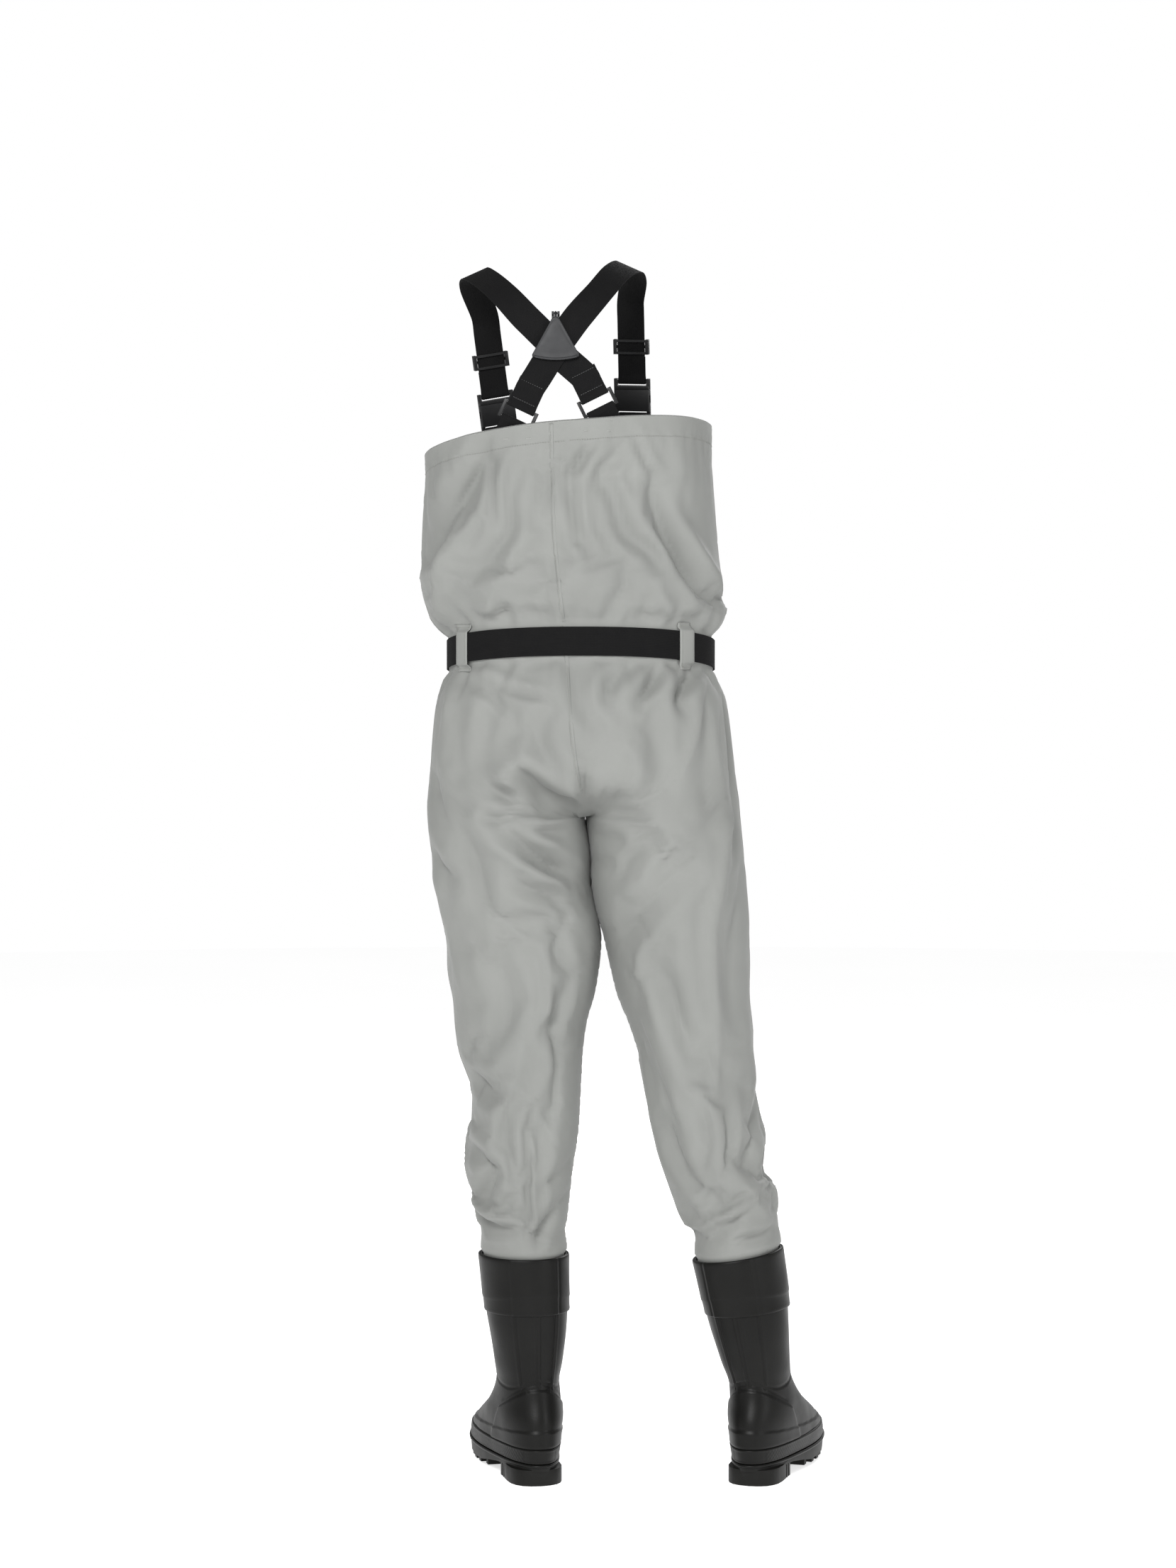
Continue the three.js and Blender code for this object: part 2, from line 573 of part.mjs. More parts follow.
for (const [name, strap] of Object.entries(STRAPS)) {
  const { centre, z: up, y: out, x: width } = ringFrame(strap.ring);
  const eyeAt = centre.clone().addScaledVector(up, RING.barAt);
  const turn = new THREE.Matrix4().makeBasis(width, out, up).setPosition(eyeAt);
  const eye = webbingEye(34, 1, -1.7, 1.7).applyMatrix4(turn);
  const start = eyeAt.clone().addScaledVector(up, 8);
  const points = [
    start,
    eyeAt.clone().addScaledVector(up, 26),
    ...strap.cross.map(([x, z]) => keeperPoint(x, strap.layer - 0.09 * Math.max(0, z - 15), z)),
    ...strap.over.map((p) => V(...p)),
    frontPoint(strap.front, ALONG.straightEnd, -LAYER),
    frontPoint(strap.front, 165, -LAYER),
    frontPoint(strap.front, ALONG.adjuster + 24, -LAYER),
    frontPoint(strap.front, ALONG.strapEnd, -LAYER),
  ];
  const { y: frontOut } = frontFrame(strap.front);
  const normals = [
    out, out, ...strap.cross.map(() => keeperPoint(0, 1, 0).sub(KEEPER.at)),
    ...strap.lean.map((p) => V(...p).normalize()), frontOut, frontOut, frontOut, frontOut,
  ];
  add(`${name}_strap`, join(eye, ribbon(points, normals, 60)), "webbing");
}

// Back rings and the tabs that hold them, sewn inside the back hem.
for (const [side, name] of [[1, "left"], [-1, "right"]]) {
  const group = ringGroup(side);
  add(`${name}_back_ring`, ringGeometry(), "plastic", group);
  const tab = webbingEye(30, -1, -1.7, 1.7).translate(0, 0, -RING.barAt);
  add(`${name}_back_tab`, tab, "webbing", group);
}

// Front buckles. The half on the bib stays; the half on the strap slides out with its webbing loop.
for (const [side, name] of [[1, "left"], [-1, "right"]]) {
  const group = frontGroup(side, ALONG.mouth);
  add(`${name}_buckle_socket`, femaleBuckle(), "plastic", group);
  add(`${name}_buckle_plug`, maleBuckle(), "plastic", group);
  const tab = webbingEye(28, -1, -1.7, 1.7).translate(0, 0, -BUCKLE.bar);
  add(`${name}_front_tab`, tab, "webbing", group);
  const half = WEBBING_THICKNESS / 2;
  const turnedBack = webbingEye(33, 1, LAYER - half, LAYER + half).translate(0, 0, BUCKLE.maleBar);
  add(`${name}_strap_turn`, turnedBack, "webbing", group);
  add(`${name}_adjuster`, adjuster(), "plastic", frontGroup(side, ALONG.adjuster));
}

// Three-bar slide: outer bars behind the strap, centre bar in front of it.
function adjuster() {
  const [half, rail, length, bar] = [24.5, WEBBING_WIDTH / 2 + 1.2, 20, 3.4];
  const rails = [-1, 1].map((s) => block(s * rail, s * half, -4.6, 3.4, 0, length));
  const bars = [0, length - bar].map((z) => block(1 - half, half - 1, -4.6, -2.6, z, z + bar));
  const centre = block(1 - half, half - 1, 1, 3.2, length / 2 - 2, length / 2 + 2);
  return join(...rails, ...bars, centre);
}

// Triangle with a rounded top, rounded corners and a bowed lower edge, in x and z.
function triangle(grow) {
  const { halfWidth, low, high } = KEEPER;
  const [w, top, bottom] = [halfWidth + grow, high + grow, low - grow];
  const shape = new THREE.Shape();
  shape.moveTo(-w + 1, bottom + 8).quadraticCurveTo(-w - 1, bottom + 4.5, -w + 4, bottom + 3);
  shape.quadraticCurveTo(0, bottom - 3, w - 4, bottom + 3);
  shape.quadraticCurveTo(w + 1, bottom + 4.5, w - 1, bottom + 8);
  shape.lineTo(5.5, top - 4).quadraticCurveTo(0, top + 3.5, -5.5, top - 4);
  return shape;
}
// A plate of the keeper between two depths.
function plate([from, to], bevel) {
  const options = {
    depth: to - from - 2 * bevel,
    bevelEnabled: bevel > 0,
    bevelThickness: bevel,
    bevelSize: bevel,
    bevelOffset: -bevel,
    bevelSegments: 2,
    curveSegments: 5,
  };
  // The outline stands up in x and z, and its thickness runs outwards along y.
  const made = new THREE.ExtrudeGeometry(triangle(0), options).rotateX(Math.PI / 2).rotateZ(Math.PI);
  return made.translate(0, from + bevel, 0);
}
// A hinge knuckle round the pin, and the hole the pin turns in.
function knuckle(x0, x1) {
  return rod(KEEPER.knuckle, Math.abs(x1 - x0), 0, KEEPER.pin).translate((x0 + x1) / 2, 0, 0);
}
const pinHole = rod(KEEPER.pinRadius + 0.25, 20, 0, KEEPER.pin);
function keeperBack() {
  const [low, high] = KEEPER.back;
  const lugs = [-1, 1].flatMap((s) => [
    block(s * 2.2, s * 5.2, low, high, 22, 32),
    block(s * 2.2, s * 5.2, low, -1, 31, KEEPER.pin),
    knuckle(s * 2.2, s * 5.2),
  ]);
  return cut(join(plate(KEEPER.back, 0), ...lugs), pinHole);
}
function keeperCover() {
  const near = KEEPER.cover[0];
  const lug = [
    block(-1.8, 1.8, near, near + 2, 24, 32),
    block(-1.8, 1.8, 1, near + 2, 31, KEEPER.pin),
    knuckle(-1.8, 1.8),
  ];
  return cut(join(plate(KEEPER.cover, 1.2), ...lug), pinHole);
}
add("keeper_back_plate", keeperBack(), "plastic", keeper);
add("keeper_cover", keeperCover(), "plastic", keeper);
add("keeper_hinge_pin", rod(KEEPER.pinRadius, 10.2, 0, KEEPER.pin), "steel", keeper);

// ---- belt and its buckle ----------------------------------------------------------------------
const BUCKLE_MIDDLE = { x: 2.5, y: -(BELT.halfFront + 0.8), z: BELT.z + BELT.front };
// Here the buckle's z lies along world x, and its y points forward.
const beltBuckle = new THREE.Group();
const buckleTurn = new THREE.Matrix4().makeBasis(V(0, 0, 1), V(0, -1, 0), V(1, 0, 0));
beltBuckle.quaternion.setFromRotationMatrix(buckleTurn);
beltBuckle.position.set(BUCKLE_MIDDLE.x, BUCKLE_MIDDLE.y - 1.6, BUCKLE_MIDDLE.z);
waders.add(beltBuckle);
add("belt_buckle_socket", femaleBuckle(), "plastic", beltBuckle);
add("belt_buckle_plug", maleBuckle(), "plastic", beltBuckle);
beltBuckle.updateMatrix();
const socketEye = webbingEye(16, -1, -4.2, -0.8).translate(0, 0, -BUCKLE.bar);
// The angle round the belt of a point at the front, from its x.
const endAngle = (x) => {
  const across = (x - 2.5) / BELT.halfWidth;
  return -Math.acos(Math.sign(across) * Math.abs(across) ** (TORSO_POWER / 2));
};
const socketEnd = endAngle(BUCKLE_MIDDLE.x - BUCKLE.bar - 6);
const plugEnd = endAngle(BUCKLE_MIDDLE.x + BUCKLE.maleBar + 31);
const belt = beltRun(plugEnd, socketEnd + 2 * Math.PI, 64);
add("belt_webbing", join(socketEye.applyMatrix4(beltBuckle.matrix), belt), "webbing");
const tailEye = webbingEye(14, 1, 2.1, 3.7).translate(0, 0, BUCKLE.maleBar);
const tailRun = beltRun(endAngle(BUCKLE_MIDDLE.x + BUCKLE.maleBar + 12), endAngle(96), 10, 4.6);
add("belt_tail", join(tailEye.applyMatrix4(beltBuckle.matrix), tailRun), "webbing");

// ---- chest pocket -----------------------------------------------------------------------------
const POCKET = { x0: -76, x1: 116, low: 1196, high: 1342, bulge: 12, wall: 1.2 };
// How far the pocket stands off the bib.
function standOff(x, z) {
  const s = clamp01((x - POCKET.x0) / (POCKET.x1 - POCKET.x0));
  const rise = smooth((z - POCKET.low) / 34);
  return 0.9 + POCKET.bulge * rise * smooth(s / 0.16) * smooth((1 - s) / 0.16);
}
// A sheet over the chest: off(x, z) is how far its inner face stands off the bib.
function chestSheet({ x0, x1, low, high }, columns, rows, wall, off) {
  const rings = range(rows + 1, (i) => {
    const z = mix(high, low, i / rows);
    const xs = range(columns + 1, (j) => mix(x0, x1, j / columns));
    const layer = (more) => xs.map((x) => V(x, frontY(x, z) - off(x, z) - more, z));
    return [...layer(wall), ...layer(0).reverse()];
  });
  return loft(rings);
}
add("chest_pocket", chestSheet(POCKET, 16, 8, POCKET.wall, standOff), "fabric");

// The flap stands off the pocket's face, and its two ends come down towards the bib.
const FLAP = { x0: -82, x1: 122, low: 1298, high: 1364, wall: 1.6, root: 2.6, end: 7 };
function flapOff(x, z) {
  const fall = smooth((FLAP.high - z) / 14);
  const s = clamp01((x - FLAP.x0) / (FLAP.x1 - FLAP.x0));
  const atEnds = 1 - smooth(s / 0.14) * smooth((1 - s) / 0.14);
  return mix(FLAP.root, POCKET.bulge + POCKET.wall + 3.6, fall) - FLAP.end * atEnds * fall;
}
add("chest_pocket_flap", chestSheet(FLAP, 16, 5, FLAP.wall, flapOff), "fabric");

// Hook tape under the flap and loop tape on the pocket, face to face.
const FASTENER = { x0: -20, x1: 60, low: 1303, high: 1323, thick: 0.6, gap: 0.3 };
const hookOff = (x, z) => flapOff(x, z) - FASTENER.thick - FASTENER.gap;
const loopOff = (x, z) => standOff(x, z) + POCKET.wall + FASTENER.gap;
add("flap_hook_tape", chestSheet(FASTENER, 6, 1, FASTENER.thick, hookOff), "webbing");
add("pocket_loop_tape", chestSheet(FASTENER, 6, 1, FASTENER.thick, loopOff), "webbing");

// Zip of the flat pocket on the face of the chest pocket: straight, top to bottom.
const ZIP = { x: 78, high: 1290, low: 1238, tapeHalf: 7, off: 0.9 };
const zipFace = (z) => V(ZIP.x, frontY(ZIP.x, z) - standOff(ZIP.x, z) - POCKET.wall, z);
const zipLength = zipFace(ZIP.high).distanceTo(zipFace(ZIP.low));
const zipUp = zipFace(ZIP.high).sub(zipFace(ZIP.low)).normalize();
// A group with z up the zip, x along the chest and -y outwards.
function zipFrame() {
  const middle = (ZIP.high + ZIP.low) / 2;
  const across = V(16, frontY(ZIP.x + 8, middle + 1) - frontY(ZIP.x - 8, middle + 1), 0).normalize();
  across.addScaledVector(zipUp, -across.dot(zipUp)).normalize();
  const inward = zipUp.clone().cross(across);
  const group = new THREE.Group();
  group.quaternion.setFromRotationMatrix(new THREE.Matrix4().makeBasis(across, inward, zipUp));
  group.position.copy(zipFace(ZIP.high)).addScaledVector(inward, -ZIP.off);
  waders.add(group);
  return group;
}
const zipGroup = zipFrame();
function zipTape() {
  const cloth = block(-ZIP.tapeHalf, ZIP.tapeHalf, 0, -0.8, -zipLength, 0);
  return join(cloth, block(-2, 2, -0.5, -1.8, -zipLength + 2, -2));
}
function zipSlider() {
  const body = block(-4, 4, -2.2, -4.2, -14, -4);
  const posts = [-12.5, -7.5].map((z) => block(-1.2, 1.2, -4, -7.2, z, z + 1.5));
  return join(body, ...posts, block(-1.2, 1.2, -6.2, -7.2, -12.5, -6));
}
function zipPull() {
  const tongue = block(-3.5, 3.5, -4.7, -5.5, -34, -8.4);
  return cut(tongue, block(-1.9, 1.9, -3, -8, -13.5, -9.6));
}
add("zip_tape", zipTape(), "webbing", zipGroup);
add("zip_slider", zipSlider(), "steel", zipGroup);
add("zip_pull", zipPull(), "steel", zipGroup);

// ---- boots ------------------------------------------------------------------------------------
// A point of the boot's outer surface: t is 0 at the heel and pi at the toe, positive x is the outer side.
function bootPoint(side, z, t, grow = 0, level = z) {
  const [, heel, toe, heelHalf, ballHalf] = at(BOOT, level);
  const s = (1 - Math.cos(t)) / 2;
  const long = (heel - toe) / 2 + grow;
  const y = (heel + toe) / 2 + long * Math.cos(t);
  const slim = mix(1, 0.9, smooth((110 - level) / 60));
  const half = mix(heelHalf, ballHalf, smooth((s - 0.15) / 0.55)) + grow;
  const x = half * Math.sign(Math.sin(t)) * Math.abs(Math.sin(t)) ** slim;
  const { x: ax, y: ay, turn, lean, slope } = STANCE[side];
  const [c, n] = [Math.cos(turn), Math.sin(turn)];
  const wx = side * x * c - y * n;
  const wy = side * x * n + y * c;
  const rise = smooth((z - 110) / 190);
  return V(ax + wx + lean * clamp01((z - 100) / 200) ** 1.2, ay + wy, z + slope * wx * rise);
}
const BOOT_SIDES = 24; // points round the boot
const bootRing = (side, z, grow, level = z) =>
  range(BOOT_SIDES, (i) => bootPoint(side, z, (2 * Math.PI * i) / BOOT_SIDES, grow, level));

function bootShell(side) {
  const heights = BOOT.map((row) => row[0]);
  const floor = SOLE_TOP + BOOT_WALL;
  const outer = [...heights].reverse().map((z) => bootRing(side, z, 0));
  const inner = heights.map((z) => bootRing(side, Math.max(z, floor), -BOOT_WALL, z));
  return loft([...outer, ...inner], "fan");
}
// A band round the boot between two heights.
function band(side, heights, inset, wall) {
  const rings = range(BOOT_SIDES, (i) => {
    const t = (2 * Math.PI * i) / BOOT_SIDES;
    const line = (grow) => heights.map((z) => bootPoint(side, z, t, grow));
    return [...line(inset + wall), ...line(inset).reverse()];
  });
  return loft(rings, "loop");
}
// Outsole: heights of its top, and of its underside at the heel, at the ball and how far the toe curls up.
const SOLE = { top: 27.4, heel: 19, ball: 9, toeCurl: 7, sides: 28 };
// Cleats across the foot: how far forward of the ankle each starts, and its half width.
const CLEATS = [[84, 40], [106, 45], [128, 46], [150, 44], [172, 40], [194, 32]];
function solePlate(side) {
  const { x, y, turn } = STANCE[side];
  const outline = (grow) =>
    range(SOLE.sides, (i) => bootPoint(side, SOLE_TOP, (2 * Math.PI * i) / SOLE.sides, grow));
  const underside = (p) => {
    const forward = (p.x - x) * Math.sin(turn) - (p.y - y) * Math.cos(turn);
    const bottom = mix(SOLE.heel, SOLE.ball, smooth((forward - 20) / 70));
    return bottom + SOLE.toeCurl * smooth((forward - 185) / 50);
  };
  const top = outline(4).map((p) => V(p.x, p.y, SOLE.top));
  const low = outline(2.5).map((p) => V(p.x, p.y, underside(p)));
  return loft([top, low], "fan");
}
// The heel block, with two notches in each side. Drawn at the ankle, toes towards -y.
function heelBlock() {
  const shape = new THREE.Shape();
  shape.moveTo(-36, -22).lineTo(36, -22).lineTo(36, 20);
  shape.quadraticCurveTo(36, 62, 0, 62).quadraticCurveTo(-36, 62, -36, 20);
  const options = { depth: 21, bevelEnabled: false, curveSegments: 5 };
  const notches = [-1, 1].flatMap((s) => [-14, -4].map((y) => block(s * 30, s * 40, y, y + 4, -1, 18)));
  return cut(new THREE.ExtrudeGeometry(shape, options), ...notches);
}
function outsole(side) {
  const { x, y, turn } = STANCE[side];
  const place = new THREE.Matrix4().makeRotationZ(turn).setPosition(x, y, 0);
  const cleats = CLEATS.map(([from, half], i) => {
    const top = i < CLEATS.length - 1 ? 12 : 14;
    return block(-half, half, -from - 12, -from, 0, top);
  });
  return join(solePlate(side), ...[heelBlock(), ...cleats].map((g) => g.applyMatrix4(place)));
}
function insole(side) {
  const ring = (z) => bootRing(side, 38, -BOOT_WALL - 2).map((p) => V(p.x, p.y, z));
  return loft([ring(33.4), ring(38)], "fan");
}
function shank(side) {
  const { x, y, turn } = STANCE[side];
  return block(-9, 9, -95, 30, 31.4, 32.8).rotateZ(turn).translate(x, y, 0);
}
for (const [side, name] of [[1, "left"], [-1, "right"]]) {
  add(`${name}_boot_shell`, bootShell(side), "rubber");
  add(`${name}_boot_cuff`, band(side, CUFF.heights, PLAY, CUFF.wall), "rubber");
  add(`${name}_foxing_band`, band(side, [48, 38, 29], PLAY, 2.2), "rubber");
  add(`${name}_outsole`, outsole(side), "rubber");
  add(`${name}_insole`, insole(side), "felt");
  add(`${name}_shank`, shank(side), "steel");
}

waders.position.set(...ORIGIN_SHIFT);
export default waders;
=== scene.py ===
import json
import math

import bmesh
import bpy
import numpy as np
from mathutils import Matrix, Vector, noise
from mathutils.bvhtree import BVHTree

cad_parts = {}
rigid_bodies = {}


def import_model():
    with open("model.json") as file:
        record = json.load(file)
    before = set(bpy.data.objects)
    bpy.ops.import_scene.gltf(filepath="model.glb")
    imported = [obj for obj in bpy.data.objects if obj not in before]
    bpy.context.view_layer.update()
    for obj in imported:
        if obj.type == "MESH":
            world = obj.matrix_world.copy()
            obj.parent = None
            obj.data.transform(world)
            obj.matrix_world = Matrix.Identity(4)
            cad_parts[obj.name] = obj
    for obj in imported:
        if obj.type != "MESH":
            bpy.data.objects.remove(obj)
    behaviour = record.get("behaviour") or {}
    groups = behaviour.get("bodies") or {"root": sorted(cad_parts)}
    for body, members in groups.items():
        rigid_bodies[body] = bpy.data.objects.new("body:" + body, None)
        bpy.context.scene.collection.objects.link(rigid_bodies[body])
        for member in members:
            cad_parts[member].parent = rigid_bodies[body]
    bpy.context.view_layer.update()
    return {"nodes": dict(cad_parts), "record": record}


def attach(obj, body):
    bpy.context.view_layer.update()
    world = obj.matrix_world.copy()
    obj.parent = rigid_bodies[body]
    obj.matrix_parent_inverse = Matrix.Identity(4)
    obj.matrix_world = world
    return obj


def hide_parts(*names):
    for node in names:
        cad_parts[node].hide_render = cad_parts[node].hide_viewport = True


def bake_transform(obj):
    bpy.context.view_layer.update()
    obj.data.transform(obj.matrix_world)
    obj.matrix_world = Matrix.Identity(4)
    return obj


# Chest waders. Shapes are worked out in millimetres in the drawing frame of the CAD part, whose x = 0 is at
# the crotch, and go to metres in the row frame when a mesh is made.
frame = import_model()
nodes = frame["nodes"]

# ---- dimensions shared with the CAD part ----
ORIGIN_SHIFT = np.array([59.8, 29.6, 0.0])
FABRIC = 1.2
WEBBING = 38.0
WEBBING_THICK = 1.6
PLAY = 0.4
WEAVE_PITCH = 0.0008  # metres
TORSO_POWER = 2.3
CROTCH, HIP = 885.0, 965.0
BELT_Z, BELT_BACK, BELT_FRONT = 1100.0, 19.0, -12.0
BELT_HALF_WIDTH, BELT_HALF_BACK, BELT_HALF_FRONT, BELT_MIDDLE = 177.5, 120.0, 124.2, 2.5
LEG_END = 284.0

# Bib and hips: height, centre x, centre y, half width, half depth behind, half depth in front.
TORSO = [
    [1425, 21, -4, 191, 128, 130], [1330, 19, -4, 190, 130, 134], [1270, 17, -3, 194, 134, 137],
    [1210, 14.5, -2, 198.5, 137, 140], [1175, 11, 0, 199, 134, 138], [1150, 7, 0, 194, 128, 132],
    [1137, 4, 0, 184, 121, 124], [1125, 3, 0, 174.5, 116.5, 118.5], [1100, 2.5, 0, 172.5, 115.5, 117.5],
    [1075, 2, 0, 174.5, 117, 118.5], [1062, 1, 1, 182, 124, 122], [1030, 0, 4, 196, 134, 128],
    [990, -2, 6, 202, 140, 131], [950, -2.5, 7, 206, 141, 131], [915, -2.5, 6, 209, 138, 129],
    [885, -3, 4, 210, 132, 127],
]
# Legs: height, centre x and half width of the left leg, the same of the right leg, centre y, half depth.
LEGS = [
    [965, 102, 103, -106, 104, 6, 136], [885, 102, 103, -110, 104, 4, 128],
    [840, 95.5, 103.5, -116, 104, 2, 120],
    [800, 92, 100.5, -117.5, 104.5, 0, 115], [763, 84, 99.5, -122, 103, 0, 111],
    [726, 75.5, 99.5, -128, 99.5, 0, 108], [688, 76, 98, -132, 95.5, 0, 105],
    [650, 76, 92, -137, 91.5, 0, 101],
    [612, 81.5, 87, -147, 86, 2, 97], [574, 83, 83, -155.5, 81.5, 5, 94], [536, 82, 80, -163.5, 80, 8, 92],
    [498, 83.5, 79.5, -169.5, 79.5, 12, 90], [460, 84, 77.5, -177, 75.5, 16, 86],
    [422, 86, 73.5, -183.5, 71.5, 19, 81], [384, 84.5, 67.5, -193, 68.7, 21, 76],
    [346, 81, 60, -200, 62, 22, 69], [308, 79, 54.2, -206.5, 54.5, 21, 63],
    [270, 78, 52.5, -209.5, 52.5, 21, 61],
]
# Boot, seen from its ankle: height, heel end, toe end, half width at the heel, half width at the ball.
BOOT = [
    [302, 67, -65, 58, 58], [250, 65, -62, 56, 56], [226, 63, -60, 54, 54], [200, 60, -57, 51, 51],
    [160, 54, -55, 45, 46], [135, 52, -62, 42, 44], [115, 53, -80, 41, 45], [98, 56, -108, 42, 47],
    [84, 59, -140, 43, 49], [71, 62, -172, 44, 50], [59, 64, -200, 44, 51], [48, 65, -218, 44, 52],
    [38, 64, -227, 43, 52], [28, 62, -230, 41, 51],
]
BOOT_WALL = 3.0
# Where each boot stands: ankle x and y, turn-out, sideways lean, slope of the top edge.
STANCE = {1: (70, 20, 0.24, 9, 0.0), -1: (-238, 20, -0.3, 30, -0.145)}
SIDES = ((1, "left"), (-1, "right"))

# The garment.
HEM = 1400.0  # nominal height of the edge
HEM_LINE = 1374.0  # nominal height of the stitch line of its turned part
COLUMNS = 44
TOP_ROWS = [1400, 1398.5, 1396, 1392, 1387, 1382, 1378, 1375.6, 1374, 1372.4, 1370, 1365.5]
FOLD_GAIN = 2.0
FOLD_WIDTH = 0.8
THIGH_PRESS = 2.2  # how far each inner thigh is pressed towards the other
CUFF_FILL = 3.4  # how far the cloth stands out just above the boot's cuff
FABRIC_COLOUR = (0.218, 0.223, 0.212)

# The cloth simulation.
SETTLE_FRAMES = 18
SPARE_CLOTH = -0.020  # how much longer than its shape the cloth is, which makes it buckle into wrinkles
MOST_MOVE = 16.0  # mm
LOOSE = 0.05  # how firmly the free cloth is drawn back to its own shape
WEIGHT = 0.5  # share of gravity
CLOTH_SETTINGS = {
    "quality": 5, "mass": 0.05, "air_damping": 3.0, "tension_stiffness": 30, "compression_stiffness": 30,
    "shear_stiffness": 12, "bending_stiffness": 0.5, "tension_damping": 8, "compression_damping": 8,
    "shear_damping": 8, "vertex_group_mass": "hold", "pin_stiffness": 1.0, "shrink_min": SPARE_CLOTH,
}

# Camera and light.
CAMERA_PLACE = (0.0527, 4.98, 1.1)
CAMERA_DIP = math.radians(1.985)
AMBIENT = 0.36
# Name, place, target, size and power.
LIGHTS = (
    ("key", (1.0, 3.9, 2.9), (0, 0, 0.8), (1.5, 1.5), 185),
    ("fill", (-3.4, 2.6, 1.6), (0, 0, 0.8), (1.2, 2.0), 42),
    ("front", (-1.5, -3.6, 3.0), (0, 0, 0.9), (2.0, 2.0), 90),
)

# Webbing and hardware.
# Back rings by side: x and z of the middle, and the way up the strap.
BACK_RING = {1: (85, 1414, (-52, 0, 108)), -1: (-20, 1429, (40, 0, 80))}
RING_BAR = 9.4
BAR_RADIUS = 2.0
# Front runs by side: x and z of the lower end, and the way up the strap.
FRONT_RUN = {1: (110, 1375, (24, 38, 185)), -1: (-70, 1393, (4, 38, 185))}
MOUTH, STRAP_END, STRAIGHT_END = 71, 117, 188
SOCKET_BAR, PLUG_BAR = -35.0, 10.6
LAYER = 1.1
KEEPER_LEAN = 0.06
# How far each outline of the cover lies inside its edge, and its height, from the back edge to the crown.
COVER_STEPS = (
    (0.6, 2.6), (0, 3.0), (0, 4.6), (0.5, 5.5), (1.5, 6.1), (3.2, 6.3), (4.2, 6.1), (9, 6.5), (16, 6.8))
LOOPS = {"back_left": 0.54, "back_right": math.pi - 0.72, "front_left": -0.72, "front_right": math.pi + 0.72}
# A stitch from end to end: share of its length, share of its width, share of its lift.
STITCH_PROFILE = ((0, 0.35, -0.5), (0.2, 0.85, 0.6), (0.5, 1.0, 1.0), (0.8, 0.85, 0.6), (1, 0.35, -0.5))

# Boots.
AROUND = 240  # points in each ring of a boot
KNURL_PITCH = 6.4
RELIEF_GAIN = 2.0
# The cuff band from its top down: height, and how far it stands out.
CUFF_STEPS = (
    (302.2, 0.9), (301.6, 1.8), (300, 2.4), (296, 2.5), (288, 2.4), (276, 2.3), (264, 2.3), (254, 2.4),
    (250.5, 2.5), (249, 2.3), (247.5, 1.9), (246, 1.8), (242, 1.8), (236, 1.9), (231, 2.2), (228.6, 2.5),
    (227, 2.2), (226.2, 1.0))

# Pocket, seams and patches.
POCKET = (-76, 116, 1196, 1342)
FLAP = (-82, 122, 1298, 1364)
BULGE = 12.0
TAPE_BOX = (-20, 60, 1303, 1323)
PILE = 0.14  # how much the height of the tapes' pile varies
ZIP_LENGTH = 52.0
BACK_SEAM = [(39, 1402), (38, 1340), (36, 1270), (30, 1200), (23, 1140), (19, 1100), (17, 1058), (12, 1000),
             (6, 950), (0, 914)]
OUTSEAM_PROFILE = [(-2.2, -0.1), (-1.8, 0.4), (0, 0.5), (1.8, 0.4), (2.2, -0.1)]
SEAM_PROFILE = [(-4.6, -0.1), (-4.2, 0.45), (-2.0, 0.6), (0, 0.62), (0.7, 0.55), (1.0, -0.1)]
# Webbing tabs sewn in behind the hem: face, x, and the height of the lower tacks.
TACKED_TABS = ((1, 85, 1382), (1, -20, 1392), (-1, 110, 1368), (-1, -70, 1384))


# ---- small tools ----
def row_frame(points):
    """Millimetres in the drawing frame to metres in the row frame."""
    return (np.asarray(points, float) + ORIGIN_SHIFT) / 1000


def vec(*xyz):
    return np.array(xyz, float)


def unit(v):
    v = np.asarray(v, float)
    return v / np.maximum(np.linalg.norm(v, axis=-1, keepdims=True), 1e-12)


def smooth(t):
    t = np.clip(t, 0, 1)
    return t * t * (3 - 2 * t)


def mix(a, b, t):
    return a + (b - a) * t


def bump(d, width):
    return np.exp(-((d / width) ** 2))


def at(table, z):
    """The columns of a table at heights z, between its rows by cubic curves."""
    rows = np.array(sorted(table), float)
    h = rows[:, 0]
    slope = np.empty_like(rows)
    slope[1:-1] = (rows[2:] - rows[:-2]) / (h[2:] - h[:-2])[:, None]
    slope[0] = (rows[1] - rows[0]) / (h[1] - h[0])
    slope[-1] = (rows[-1] - rows[-2]) / (h[-1] - h[-2])
    z = np.clip(np.asarray(z, float), h[0], h[-1])
    i = np.clip(np.searchsorted(h, z, side="right") - 1, 0, len(h) - 2)
    step = (h[i + 1] - h[i])[..., None]
    t = (z[..., None] - h[i][..., None]) / step
    return (
        (2 * t**3 - 3 * t**2 + 1) * rows[i]
        + (t**3 - 2 * t**2 + t) * slope[i] * step
        + (-2 * t**3 + 3 * t**2) * rows[i + 1]
        + (t**3 - t**2) * slope[i + 1] * step
    )


